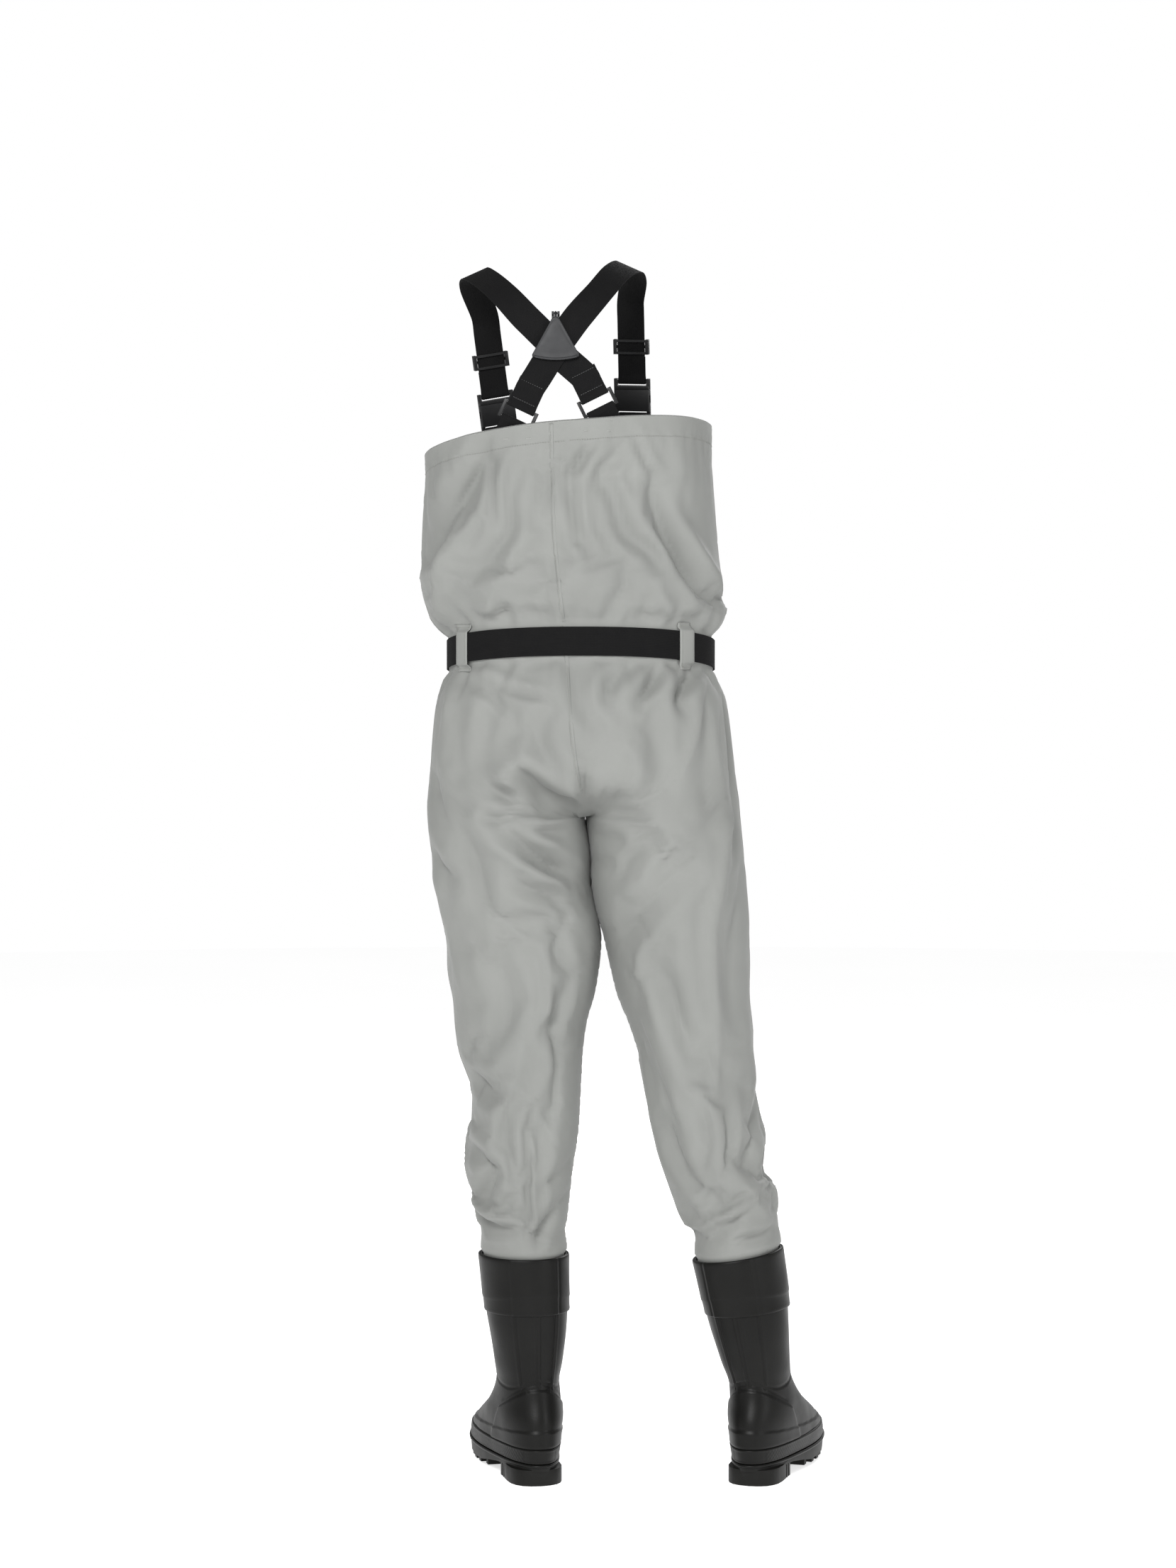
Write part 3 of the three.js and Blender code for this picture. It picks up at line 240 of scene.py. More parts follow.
def spline(points, count):
    """A smooth line of `count` points through the given ones, evenly spaced along its length."""
    p = np.asarray(points, float)
    ends = np.vstack([2 * p[0] - p[1], p, 2 * p[-1] - p[-2]])
    knot = np.maximum(np.sqrt(np.linalg.norm(np.diff(ends, axis=0), axis=1)), 1e-6)
    t = np.linspace(0, 1, 24, endpoint=False)[:, None]
    dense = []
    for i in range(len(p) - 1):
        a, b, c, d = ends[i:i + 4]
        k0, k1, k2 = knot[i:i + 3]
        m0 = ((b - a) / k0 - (c - a) / (k0 + k1) + (c - b) / k1) * k1
        m1 = ((c - b) / k1 - (d - b) / (k1 + k2) + (d - c) / k2) * k1
        dense.append(
            (2 * t**3 - 3 * t**2 + 1) * b + (t**3 - 2 * t**2 + t) * m0
            + (-2 * t**3 + 3 * t**2) * c + (t**3 - t**2) * m1
        )
    dense = np.vstack(dense + [p[-1:]])
    along = lengths(dense)
    s = np.linspace(0, along[-1], count)
    return np.stack([np.interp(s, along, dense[:, k]) for k in range(dense.shape[1])], axis=1)


def lengths(points):
    return np.concatenate([[0], np.cumsum(np.linalg.norm(np.diff(points, axis=0), axis=1))])


# ---- meshes ----
# The record's slot of each finish that has another name than its slot.
SLOTS = {"buckle": "plastic", "sole": "rubber", "tape": "seam_tape",
         "thread": "fabric", "seam_thread": "fabric", "black_thread": "fabric"}


def make_piece(name, shape, finish, body="waders", replaces=()):
    """A piece from a shape: points in the drawing frame, faces, and a uv pair in metres for each corner."""
    points, faces, uv = shape
    mesh = bpy.data.meshes.new(name)
    mesh.from_pydata([tuple(p) for p in row_frame(points)], [], [tuple(f) for f in faces])
    if uv is not None:
        layer = mesh.uv_layers.new(name="UVMap")
        layer.data.foreach_set("uv", np.asarray(uv, np.float32).ravel())
    mesh.polygons.foreach_set("use_smooth", [True] * len(mesh.polygons))
    mesh.materials.append(MAT[finish])
    mesh.update()
    obj = bpy.data.objects.new(name, mesh)
    bpy.context.scene.collection.objects.link(obj)
    if body:
        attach(obj, body)
    SLOTS.get(finish, finish)
    if replaces:
        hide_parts(*replaces)
    return obj


def loft(rings, ends=True, loop=False):
    """Points, faces and corner UVs of a tube through rings, an array (ring, point, xyz)."""
    rings = np.asarray(rings, float)
    m, n, _ = rings.shape
    points = rings.reshape(-1, 3)
    along = lengths(rings.mean(axis=1)) / 1000
    around = lengths(np.vstack([rings[0], rings[0][:1]])) / 1000
    faces, uv = [], []
    for r in range(m if loop else m - 1):
        s = (r + 1) % m
        v0 = along[r]
        v1 = along[s] if s else along[r] + 0.01
        for i in range(n):
            k = (i + 1) % n
            faces.append((r * n + i, r * n + k, s * n + k, s * n + i))
            uv += [(around[i], v0), (around[i + 1], v0), (around[i + 1], v1), (around[i], v1)]
    if ends and not loop:
        for ring, flip in ((0, True), (m - 1, False)):
            order = range(n - 1, -1, -1) if flip else range(n)
            faces.append(tuple(ring * n + i for i in order))
            uv += [(around[i], along[ring]) for i in order]
    if signed_volume(points, faces) < 0:
        start, turned_uv = 0, []
        for face in faces:
            turned_uv += uv[start:start + len(face)][::-1]
            start += len(face)
        faces, uv = [face[::-1] for face in faces], turned_uv
    return points, faces, uv


def signed_volume(points, faces):
    """Six times the volume inside the four-sided faces, below zero when they are inside out."""
    quads = np.array([face for face in faces if len(face) == 4])
    a, b, c, d = (points[quads[:, k]] - points.mean(axis=0) for k in range(4))
    return float((a * np.cross(b, c)).sum() + (a * np.cross(c, d)).sum())


def merge(parts):
    """Several (points, faces, uv) in one."""
    points, faces, uv, start = [], [], [], 0
    for p, f, t in parts:
        points.append(p)
        faces += [tuple(i + start for i in face) for face in f]
        uv += list(t)
        start += len(p)
    return np.vstack(points), faces, uv


def bare(shape):
    """A shape without its corner pairs."""
    return shape[0], shape[1], None


def sweep(path, outs, profile, loop=False):
    """A profile, pairs (across, out) in millimetres, carried along a path whose flat side faces outs."""
    path, outs = np.asarray(path, float), np.asarray(outs, float)
    tangent = unit(np.gradient(path, axis=0))
    across = unit(np.cross(tangent, outs))
    out = unit(np.cross(across, tangent))
    profile = np.asarray(profile, float)
    rings = (
        path[:, None]
        + across[:, None] * profile[None, :, 0, None]
        + out[:, None] * profile[None, :, 1, None]
    )
    return loft(rings, loop=loop)


def webbing_profile(width=WEBBING, thick=WEBBING_THICK, ribs=13, depth=0.13):
    """Flat webbing with woven lengthwise ribs and rounded edges."""
    half, t = width / 2, thick / 2
    count = ribs * 4
    a = np.linspace(-half + 0.5, half - 0.5, count + 1)
    rib = depth * np.cos(np.linspace(0, 2 * math.pi * ribs, count + 1))
    top = np.stack([a, t - depth + rib], axis=1)
    low = np.stack([a[::-1], -(t - depth + rib[::-1])], axis=1)
    right = [[half - 0.12, t * 0.6], [half, 0], [half - 0.12, -t * 0.6]]
    left = [[-half + 0.12, -t * 0.6], [-half, 0], [-half + 0.12, t * 0.6]]
    return np.vstack([top, right, low, left])


# ---- materials ----
class Nodes:
    """A new material's node tree, with short ways to add to it."""

    def __init__(self, name, colour, roughness, **sockets):
        self.material = bpy.data.materials.new(name)
        self.material.use_nodes = True
        self.tree = self.material.node_tree
        self.shader = self.tree.nodes["Principled BSDF"]
        self.shader.inputs["Base Color"].default_value = (*colour, 1)
        self.shader.inputs["Roughness"].default_value = roughness
        for socket, value in sockets.items():
            self.shader.inputs[socket.replace("_", " ")].default_value = value

    def add(self, kind, inputs=(), **settings):
        node = self.tree.nodes.new("ShaderNode" + kind)
        for key, value in settings.items():
            setattr(node, key, value)
        for key, value in dict(inputs).items():
            if isinstance(value, bpy.types.NodeSocket):
                self.tree.links.new(value, node.inputs[key])
            else:
                node.inputs[key].default_value = value
        return node

    def link(self, output, socket):
        self.tree.links.new(output, self.shader.inputs[socket])

    def place(self, kind="Object", scale=(1, 1, 1)):
        source = self.add("TexCoord").outputs[kind]
        return self.add("Mapping", {"Vector": source, "Scale": scale}).outputs["Vector"]

    def noise(self, scale, detail=3.0, where=None, **settings):
        inputs = {"Scale": scale, "Detail": detail, **settings}
        inputs["Vector"] = self.place() if where is None else where
        return self.add("TexNoise", inputs).outputs["Fac"]

    def ramp(self, factor, low, high, start=0.3, stop=0.7):
        node = self.add("ValToRGB", {"Fac": factor})
        for element, position, colour in zip(node.color_ramp.elements, (start, stop), (low, high)):
            element.position = position
            element.color = (*colour, 1)
        return node.outputs["Color"]

    def tint(self, factor, first, second):
        """Mixes two colours, or a colour and a socket, by factor."""
        node = self.add("Mix", data_type="RGBA")
        for index, value in ((0, factor), (6, first), (7, second)):
            if isinstance(value, bpy.types.NodeSocket):
                self.tree.links.new(value, node.inputs[index])
            else:
                node.inputs[index].default_value = value if index == 0 else (*value, 1)
        return node.outputs[2]

    def math(self, operation, first, second=0.0):
        node = self.add("Math", operation=operation)
        for index, value in enumerate((first, second)):
            if isinstance(value, bpy.types.NodeSocket):
                self.tree.links.new(value, node.inputs[index])
            else:
                node.inputs[index].default_value = value
        return node.outputs[0]

    def bumps(self, *layers):
        """Layers of (height socket, strength, distance in metres), one bump over another."""
        normal = None
        for height, strength, distance in layers:
            inputs = {"Height": height, "Strength": strength, "Distance": distance}
            if normal is not None:
                inputs["Normal"] = normal
            normal = self.add("Bump", inputs).outputs["Normal"]
        self.link(normal, "Normal")


def weave(n, pitch, where):
    """A plain weave: two sets of threads at right angles, as a height from 0 to 1."""
    waves = [
        n.add("TexWave", {"Vector": where, "Scale": 1 / pitch / 3.18, "Distortion": 0.6, "Detail": 0.0},
              bands_direction=axis, wave_profile="SIN").outputs["Fac"]
        for axis in ("X", "Y")
    ]
    return n.math("MULTIPLY", waves[0], waves[1])


def fabric_material(name, colour):
    n = Nodes(name, colour, 0.74, Sheen_Weight=0.12, Sheen_Roughness=0.45, Specular_IOR_Level=0.35)
    dark = tuple(c * 0.93 for c in colour)
    light = tuple(min(1, c * 1.05) for c in colour)
    cloud = n.noise(7.0, 4.0)
    fleck = n.noise(900.0, 2.0)
    shade = n.ramp(cloud, dark, light)
    thread = n.tint(n.math("MULTIPLY", fleck, 0.22), shade, tuple(c * 0.72 for c in colour))
    n.link(thread, "Base Color")
    rough = n.math("ADD", n.math("MULTIPLY", n.noise(40.0, 3.0), 0.16), 0.62)
    n.link(rough, "Roughness")
    cloth = weave(n, WEAVE_PITCH, n.place("UV"))
    n.bumps((n.noise(26.0, 3.0), 0.10, 0.004), (n.noise(140.0, 2.0), 0.12, 0.0006), (cloth, 0.35, 0.00012))
    return n.material


def webbing_material():
    n = Nodes("black_webbing", (0.005, 0.005, 0.0052), 0.86, Sheen_Weight=0.01, Sheen_Roughness=0.4,
              Specular_IOR_Level=0.1)
    where = n.place("UV")
    across = n.add("TexWave", {"Vector": where, "Scale": 1 / 0.0012 / 3.18, "Distortion": 0.8, "Detail": 1.0},
                   bands_direction="Y").outputs["Fac"]
    along = n.add("TexWave", {"Vector": where, "Scale": 1 / 0.0008 / 3.18, "Distortion": 0.5, "Detail": 0.0},
                  bands_direction="X").outputs["Fac"]
    threads = n.math("MULTIPLY", across, along)
    # Painted shade in the weave: the raised threads are painted lighter and the gaps between them darker,
    # after the same waves as the bumps.
    weave_painted_shade = n.tint(n.math("MULTIPLY", threads, 0.55), (0.0035, 0.0035, 0.0038), (0.012, 0.012, 0.0125))
    dust = n.tint(n.math("MULTIPLY", n.noise(60.0, 4.0), 0.22), weave_painted_shade, (0.018, 0.0175, 0.0165))
    n.link(dust, "Base Color")
    n.bumps((across, 0.5, 0.00025), (along, 0.35, 0.00015), (n.noise(500.0, 2.0), 0.25, 0.0002))
    return n.material


def rubber_material(name="black_rubber", colour=(0.0045, 0.0045, 0.0042), roughness=0.42):
    n = Nodes(name, colour, roughness, Specular_IOR_Level=0.15)
    cloud = n.noise(9.0, 5.0)
    base = n.ramp(cloud, tuple(c * 0.8 for c in colour), tuple(c * 1.5 for c in colour))
    dust = n.math("MULTIPLY", n.noise(70.0, 5.0), 0.03)
    n.link(n.tint(dust, base, (0.06, 0.057, 0.05)), "Base Color")
    n.link(n.math("ADD", n.math("MULTIPLY", n.noise(24.0, 5.0), 0.26), roughness - 0.12), "Roughness")
    n.bumps((n.noise(14.0, 3.0), 0.12, 0.003), (n.noise(450.0, 2.0), 0.3, 0.0003))
    return n.material


def plastic_material(name, colour, roughness):
    n = Nodes(name, colour, roughness, Specular_IOR_Level=0.28)
    worn = n.math("MULTIPLY", n.noise(55.0, 6.0), 0.3)
    n.link(n.tint(worn, colour, tuple(min(1, c * 1.6 + 0.01) for c in colour)), "Base Color")
    n.link(n.math("ADD", n.math("MULTIPLY", n.noise(90.0, 4.0), 0.2), roughness - 0.1), "Roughness")
    n.bumps((n.noise(900.0, 2.0), 0.25, 0.00015),)
    return n.material


def thread_material(name, colour):
    n = Nodes(name, colour, 0.7, Sheen_Weight=0.2)
    twist = n.add("TexWave", {"Vector": n.place(), "Scale": 900.0, "Distortion": 2.0}).outputs["Fac"]
    n.link(n.tint(n.math("MULTIPLY", twist, 0.3), colour, tuple(c * 0.6 for c in colour)), "Base Color")
    n.bumps((twist, 0.3, 0.0001),)
    return n.material


def metal_material():
    n = Nodes("plated_steel", (0.55, 0.55, 0.56), 0.34, Metallic=1.0)
    scratch = n.noise(160.0, 4.0, where=n.place(scale=(1, 1, 8)))
    n.link(n.math("ADD", n.math("MULTIPLY", scratch, 0.25), 0.22), "Roughness")
    n.link(n.ramp(n.noise(30.0), (0.42, 0.42, 0.43), (0.62, 0.62, 0.62)), "Base Color")
    n.bumps((scratch, 0.15, 0.0001),)
    return n.material


def felt_material():
    n = Nodes("insole_felt", (0.09, 0.10, 0.10), 0.95, Sheen_Weight=0.4)
    fibre = n.noise(700.0, 5.0)
    n.link(n.ramp(fibre, (0.06, 0.065, 0.065), (0.14, 0.15, 0.15)), "Base Color")
    n.bumps((fibre, 0.6, 0.0005),)
    return n.material


MAT = {
    "fabric": fabric_material("sage_fabric", FABRIC_COLOUR),
    "tape": fabric_material("seam_film", (0.50, 0.51, 0.48)),
    "webbing": webbing_material(),
    "rubber": rubber_material(),
    "sole": rubber_material("sole_rubber", (0.006, 0.006, 0.0055), 0.5),
    "plastic": plastic_material("grey_plastic", (0.019, 0.0195, 0.021), 0.52),
    "buckle": plastic_material("black_plastic", (0.008, 0.008, 0.0085), 0.4),
    "thread": thread_material("pale_thread", (0.38, 0.385, 0.365)),
    "seam_thread": thread_material("sage_thread", (0.20, 0.205, 0.185)),
    "black_thread": thread_material("black_thread", (0.03, 0.03, 0.031)),
    "steel": metal_material(),
    "felt": felt_material(),
}


# ---- the fabric's shape, the same surface as the CAD panels ----
# side is 1 for the wearer's left; face is 1 behind; u runs from the outseam (0) to the centre seam or
# inseam (1).
def waist_tilt(u, face, z):
    lift = BELT_BACK if face > 0 else BELT_FRONT
    return lift * np.sin(u * math.pi / 2) * smooth((200 - np.abs(z - BELT_Z)) / 120)


def torso_point(side, face, u, z, grow=0.0):
    row = at(TORSO, z - waist_tilt(u, face, z))
    depth = row[..., 4] if face > 0 else row[..., 5]
    power = 2 / TORSO_POWER
    x = row[..., 1] + side * (row[..., 3] + grow) * np.maximum(0, np.cos(u * math.pi / 2)) ** power
    y = row[..., 2] + face * (depth + grow) * np.maximum(0, np.sin(u * math.pi / 2)) ** power
    return np.stack([x, y, z], axis=-1)


def boot_point(side, z, t, grow=0.0, level=None):
    """The boot's outer surface: t is 0 at the heel and pi at the toe, and the outer side comes between."""
    z, t = np.broadcast_arrays(np.asarray(z, float), np.asarray(t, float))
    level = z if level is None else level
    row = at(BOOT, level)
    s = (1 - np.cos(t)) / 2
    y = (row[..., 1] + row[..., 2]) / 2 + ((row[..., 1] - row[..., 2]) / 2 + grow) * np.cos(t)
    slim = mix(1, 0.9, smooth((110 - level) / 60))
    half = mix(row[..., 3], row[..., 4], smooth((s - 0.15) / 0.55)) + grow
    x = half * np.sign(np.sin(t)) * np.abs(np.sin(t)) ** slim
    ankle_x, ankle_y, turn, lean, slope = STANCE[side]
    wx = side * x * math.cos(turn) - y * math.sin(turn)
    wy = side * x * math.sin(turn) + y * math.cos(turn)
    top = ankle_x + wx + lean * np.clip((z - 100) / 200, 0, 1) ** 1.2
    return np.stack([top, ankle_y + wy, z + slope * wx * smooth((z - 110) / 190)], axis=-1)


def leg_point(side, face, u, z):
    row = at(LEGS, z)
    centre, half = (row[..., 1], row[..., 2]) if side > 0 else (row[..., 3], row[..., 4])
    angle = u * math.pi
    x = centre + side * half * np.cos(angle)
    y = row[..., 5] + face * row[..., 6] * np.sin(angle)
    free = np.stack([x, y, z], axis=-1)
    t = math.pi / 2 - face * angle
    first = boot_point(side, z, t, -BOOT_WALL - 1.4)
    tucked = boot_point(side, 2 * z - first[..., 2], t, -BOOT_WALL - 1.4)
    tucked[..., 2] = z
    return mix(free, tucked, smooth((350 - z) / 35)[..., None])


def skin(side, face, u, z):
    u, z = np.broadcast_arrays(np.asarray(u, float), np.asarray(z, float))
    above = np.clip((z - CROTCH) / (HIP - CROTCH), 0, 1)
    rounded = 1 - np.sqrt(np.maximum(0, 1 - (1 - above) ** 2))
    leg = mix(1 - smooth(above), rounded, u**4)[..., None]
    return mix(torso_point(side, face, u, z), leg_point(side, face, u, z), leg)


def hem_height(u, side, face):
    angle = u * math.pi / 2
    return 1384 - 20 * side * np.cos(angle) + (22 if face > 0 else 28) * np.sin(angle)


def row_height(side, face, u, z):
    top = (hem_height(u, side, face) - HEM) * smooth((z - 1180) / 220)
    middle = at(LEGS, z)[..., 1 if side > 0 else 3]
    across = np.where(z < 420, skin(side, face, u, z)[..., 0] - middle, 0)
    return z + top + waist_tilt(u, face, z) + STANCE[side][4] * across * smooth((420 - z) / 120)


def bib_depth(face, x, z):
    row = at(TORSO, z)
    u = np.arccos(np.abs((x - row[..., 1]) / row[..., 3]) ** (TORSO_POWER / 2)) / (math.pi / 2)
    return torso_point(1, face, u, z)[..., 1]


def bib_normal(face, x, z):
    slope = bib_depth(face, x - 15, z) - bib_depth(face, x + 15, z)
    return unit(vec(slope, 30, 0)) * face


def belt_point(angle, up=0.0, out=0.0):
    """A point by the belt: angle 0 is the wearer's left, 90 degrees the middle of the back."""
    c, s = np.cos(angle), np.sin(angle)
    depth = np.where(s > 0, BELT_HALF_BACK, BELT_HALF_FRONT) + out
    lift = np.where(s > 0, BELT_BACK * s, -BELT_FRONT * s)
    power = 2 / TORSO_POWER
    x = BELT_MIDDLE + np.sign(c) * (BELT_HALF_WIDTH + out) * np.abs(c) ** power
    return np.stack([x, np.sign(s) * depth * np.abs(s) ** power, BELT_Z + lift + up], axis=-1)


# ---- folds ----
# Each fold: height in mm (below zero for a valley), half width in mm, and its line in x and z.
BACK_FOLDS = [
    # Bib.
    (-4, 8, [(115, 1396), (118, 1340), (118, 1295), (115, 1268)]),
    (-9, 19, [(112, 1388), (132, 1352), (154, 1320), (185, 1270), (206, 1240)]),
    (6, 20, [(160, 1296), (176, 1251), (189, 1179), (187, 1128)]),
    (-4, 16, [(60, 1352), (50, 1322), (63, 1280)]),
    (-5, 15, [(91, 1311), (97, 1270), (114, 1242), (134, 1211)]),
    (-3, 22, [(44, 1275), (42, 1220), (46, 1190), (74, 1160)]),
    (-7, 10, [(-19, 1412), (-9, 1377), (5, 1352), (14, 1330), (9, 1290), (3, 1257), (-7, 1240)]),
    (-5, 12, [(-50, 1398), (-42, 1360), (-28, 1340), (-41, 1308), (-63, 1257), (-86, 1238), (-96, 1216)]),
    (-3, 7, [(-66, 1390), (-84, 1352), (-103, 1332)]),
    (-9, 13, [(-92, 1330), (-101, 1295), (-122, 1247), (-157, 1194), (-176, 1168)]),
    (6, 17, [(-136, 1278), (-160, 1229), (-190, 1182)]),
    (-4, 14, [(-55, 1220), (-52, 1185), (-26, 1142)]),
    (4, 16, [(-90, 1204), (-104, 1176), (-116, 1150)]),
    (4, 18, [(98, 1214), (118, 1180), (128, 1150)]),
    (-4, 9, [(40, 1160), (54, 1150), (70, 1154)]),
    (-4, 8, [(-38, 1150), (-22, 1142), (-6, 1148)]),
    (-4, 9, [(-106, 1156), (-92, 1146), (-70, 1152)]),
    (-4, 9, [(98, 1160), (114, 1148), (134, 1152)]),
    (-4, 10, [(-160, 1160), (-144, 1146), (-126, 1150)]),
    # Seat.
    (-5, 10, [(154, 1064), (122, 1054), (106, 1040)]),
    (-4, 7, [(134, 1072), (91, 1056), (42, 1047)]),
    (-4, 13, [(8, 1080), (0, 1033), (-26, 1002)]),
    (-5, 11, [(-55, 1090), (-34, 1058), (-28, 1040)]),
    (-7, 10, [(-99, 1094), (-94, 1071), (-73, 1043)]),
    (-8, 11, [(-148, 1084), (-129, 1048), (-133, 1032)]),
    (3, 11, [(-159, 1056), (-145, 992), (-128, 938)]),
    (-4, 14, [(-197, 928), (-176, 902), (-158, 876)]),
    (3, 12, [(173, 1064), (182, 1015)]),
    (-6, 15, [(202, 954), (190, 916), (172, 876)]),
    (-5, 15, [(186, 936), (160, 912), (142, 896)]),
    (-5, 16, [(66, 1010), (44, 964), (30, 942)]),
    (-10, 15, [(86, 962), (60, 929), (31, 911), (0, 906)]),
    (-7, 12, [(124, 938), (85, 914), (45, 904)]),
    (-6, 10, [(120, 893), (72, 896), (29, 889)]),
    (6, 22, [(70, 980), (96, 950), (130, 930)]),
    (-4, 14, [(-12, 970), (-3, 946), (-7, 920)]),
    (-6, 8, [(-1, 944), (-5, 922), (-8, 904)]),
    (5, 24, [(-50, 1000), (-70, 960), (-66, 920)]),
    # Left thigh.
    (-7, 17, [(166, 900), (140, 840), (120, 781), (80, 750)]),
    (-8, 13, [(119, 894), (86, 864), (53, 836), (14, 806), (-5, 774)]),
    (6, 15, [(110, 864), (80, 838), (46, 812), (20, 786)]),
    (-5, 12, [(85, 810), (29, 781), (-2, 771)]),
    (-5, 10, [(97, 891), (53, 873), (15, 866)]),
    (-5, 13, [(196, 850), (180, 828), (158, 806)]),
    (3, 9, [(198, 836), (178, 766), (165, 715), (153, 639), (154, 590)]),
    (-5, 12, [(34, 732), (29, 703), (15, 683)]),
    (-5, 12, [(14, 680), (27, 641), (41, 606), (28, 574)]),
    (3, 8, [(48, 704), (47, 640), (46, 560)]),
    (-4, 18, [(110, 700), (100, 650), (112, 600)]),
    # Right leg.
    (-5, 20, [(-163, 860), (-122, 821), (-77, 769), (-42, 712)]),
    (4, 20, [(-124, 870), (-92, 824), (-58, 776)]),
    (4, 9, [(-196, 900), (-180, 821), (-168, 748), (-175, 685), (-182, 624), (-187, 534)]),
    (-4, 16, [(-222, 860), (-204, 780), (-198, 690), (-208, 600)]),
    (-5, 10, [(-11, 898), (-19, 866), (-46, 859)]),
    (-4, 9, [(-11, 828), (-36, 826)]),
    (-4, 15, [(-72, 620), (-76, 582), (-92, 548)]),
    (-5, 16, [(-116, 690), (-128, 640), (-150, 590)]),
    # Left lower leg.
    (-6, 12, [(165, 458), (140, 441), (127, 428), (131, 384)]),
    (-6, 9, [(150, 360), (130, 345), (88, 338)]),
    (4, 9, [(148, 376), (124, 362), (96, 356)]),
    (-5, 11, [(14, 436), (29, 412), (44, 405)]),
    (-5, 10, [(15, 394), (41, 358), (59, 333), (65, 288)]),
    (3, 8, [(64, 470), (65, 400), (64, 300)]),
    (-4, 8, [(21, 318), (45, 311), (64, 300)]),
    (-4, 12, [(96, 520), (104, 470), (98, 420)]),
    (-5, 14, [(158, 560), (136, 534), (104, 520)]),
    # Right lower leg.
    (-5, 12, [(-116, 492), (-124, 450), (-140, 404)]),
    (4, 9, [(-216, 530), (-217, 486), (-216, 440)]),
    (-5, 12, [(-251, 528), (-230, 448), (-231, 415)]),
    (-5, 9, [(-217, 368), (-194, 349), (-178, 341)]),
    (4, 9, [(-226, 384), (-204, 366), (-184, 360)]),
    (-4, 9, [(-250, 340), (-232, 330), (-206, 330)]),
    (-4, 12, [(-166, 520), (-172, 470), (-164, 430)]),
]
# The front isn't in view: long soft folds where trousers of this cut have them.
FRONT_FOLDS = [
    (-5, 16, [(170, 1180), (120, 1156), (70, 1144)]),
    (-5, 14, [(-150, 1184), (-104, 1160), (-60, 1148)]),
    (-5, 15, [(-150, 1368), (-150, 1300), (-170, 1240), (-180, 1190)]),
    (-5, 15, [(168, 1350), (160, 1300), (172, 1240), (186, 1190)]),
    (4, 18, [(-124, 1340), (-126, 1280), (-120, 1220)]),
    (-6, 13, [(140, 1080), (126, 1046), (96, 1022)]),
    (-6, 12, [(-130, 1082), (-112, 1050), (-88, 1030)]),
    (-5, 11, [(50, 1080), (40, 1054), (14, 1036)]),
    (-8, 14, [(-8, 930), (34, 950), (86, 990), (120, 1016)]),
    (-8, 14, [(-12, 926), (-56, 952), (-96, 986), (-126, 1006)]),
    (-6, 12, [(6, 884), (50, 900), (104, 930), (160, 944)]),
    (-6, 12, [(-24, 880), (-70, 900), (-124, 926), (-180, 936)]),
    (-5, 14, [(20, 840), (70, 852), (130, 880), (180, 890)]),
    (-5, 14, [(-40, 840), (-96, 850), (-150, 872), (-200, 880)]),
    (3, 9, [(88, 860), (80, 760), (78, 690)]),
    (3, 9, [(-120, 860), (-128, 760), (-134, 700)]),
    (-5, 11, [(20, 716), (60, 700), (110, 704), (150, 722)]),
    (-5, 11, [(-60, 716), (-110, 700), (-150, 702), (-196, 718)]),
    (-6, 10, [(24, 374), (60, 362), (110, 368), (140, 380)]),
    (-6, 10, [(-148, 374), (-190, 360), (-230, 366), (-250, 380)]),
    (-5, 9, [(34, 342), (80, 334), (124, 346)]),
    (-5, 9, [(-162, 338), (-204, 330), (-240, 342)]),
]


def near_line(x, z, line):
    """Distance from each point to a line in x and z, and how far along it the nearest place is, 0 to 1."""
    path = spline(line, 26)
    along = lengths(path)
    best = np.full(x.shape, 1e9)
    where = np.zeros(x.shape)
    for a, b, s0, s1 in zip(path, path[1:], along, along[1:]):
        d = b - a
        t = np.clip(((x - a[0]) * d[0] + (z - a[1]) * d[1]) / max(1e-9, d @ d), 0, 1)
        distance = np.hypot(x - a[0] - t * d[0], z - a[1] - t * d[1])
        closer = distance < best
        best = np.where(closer, distance, best)
        where = np.where(closer, (s0 + t * (s1 - s0)) / along[-1], where)
    return best, where


def crease(d, width):
    """Like a bump, with straighter sides and a narrow rounded top."""
    return np.exp(0.3 - np.sqrt(1.7 * (d / width) ** 2 + 0.09))


def fold_height(x, z, folds):
    total = np.zeros(x.shape)
    for height, width, line in folds:
        width = FOLD_WIDTH * width
        line = np.array(line, float)
        reach = 4.2 * width
        low, high = line.min(axis=0) - reach, line.max(axis=0) + reach
        inside = (x > low[0]) & (x < high[0]) & (z > low[1]) & (z < high[1])
        if not inside.any():
            continue
        d, s = near_line(x[inside], z[inside], line)
        taper = np.clip(np.sin(math.pi * np.clip(s * 0.94 + 0.03, 0, 1)), 0, 1) ** 0.55
        if height < 0:
            shape = crease(d, width) - 0.42 * bump(d - 1.95 * width, 0.95 * width)
        else:
            shape = crease(d, width) - 0.2 * bump(d - 1.9 * width, width)
        total[inside] += FOLD_GAIN * height * taper * shape
    return total


# ---- the garment ----
def garment_levels():
    """Nominal heights of the rows, hem to ankle, with one row exactly at the crotch."""
    above = np.linspace(1360, CROTCH, 78)
    below = np.linspace(CROTCH, LEG_END, 99)[1:]
    return np.concatenate([TOP_ROWS, above, below])


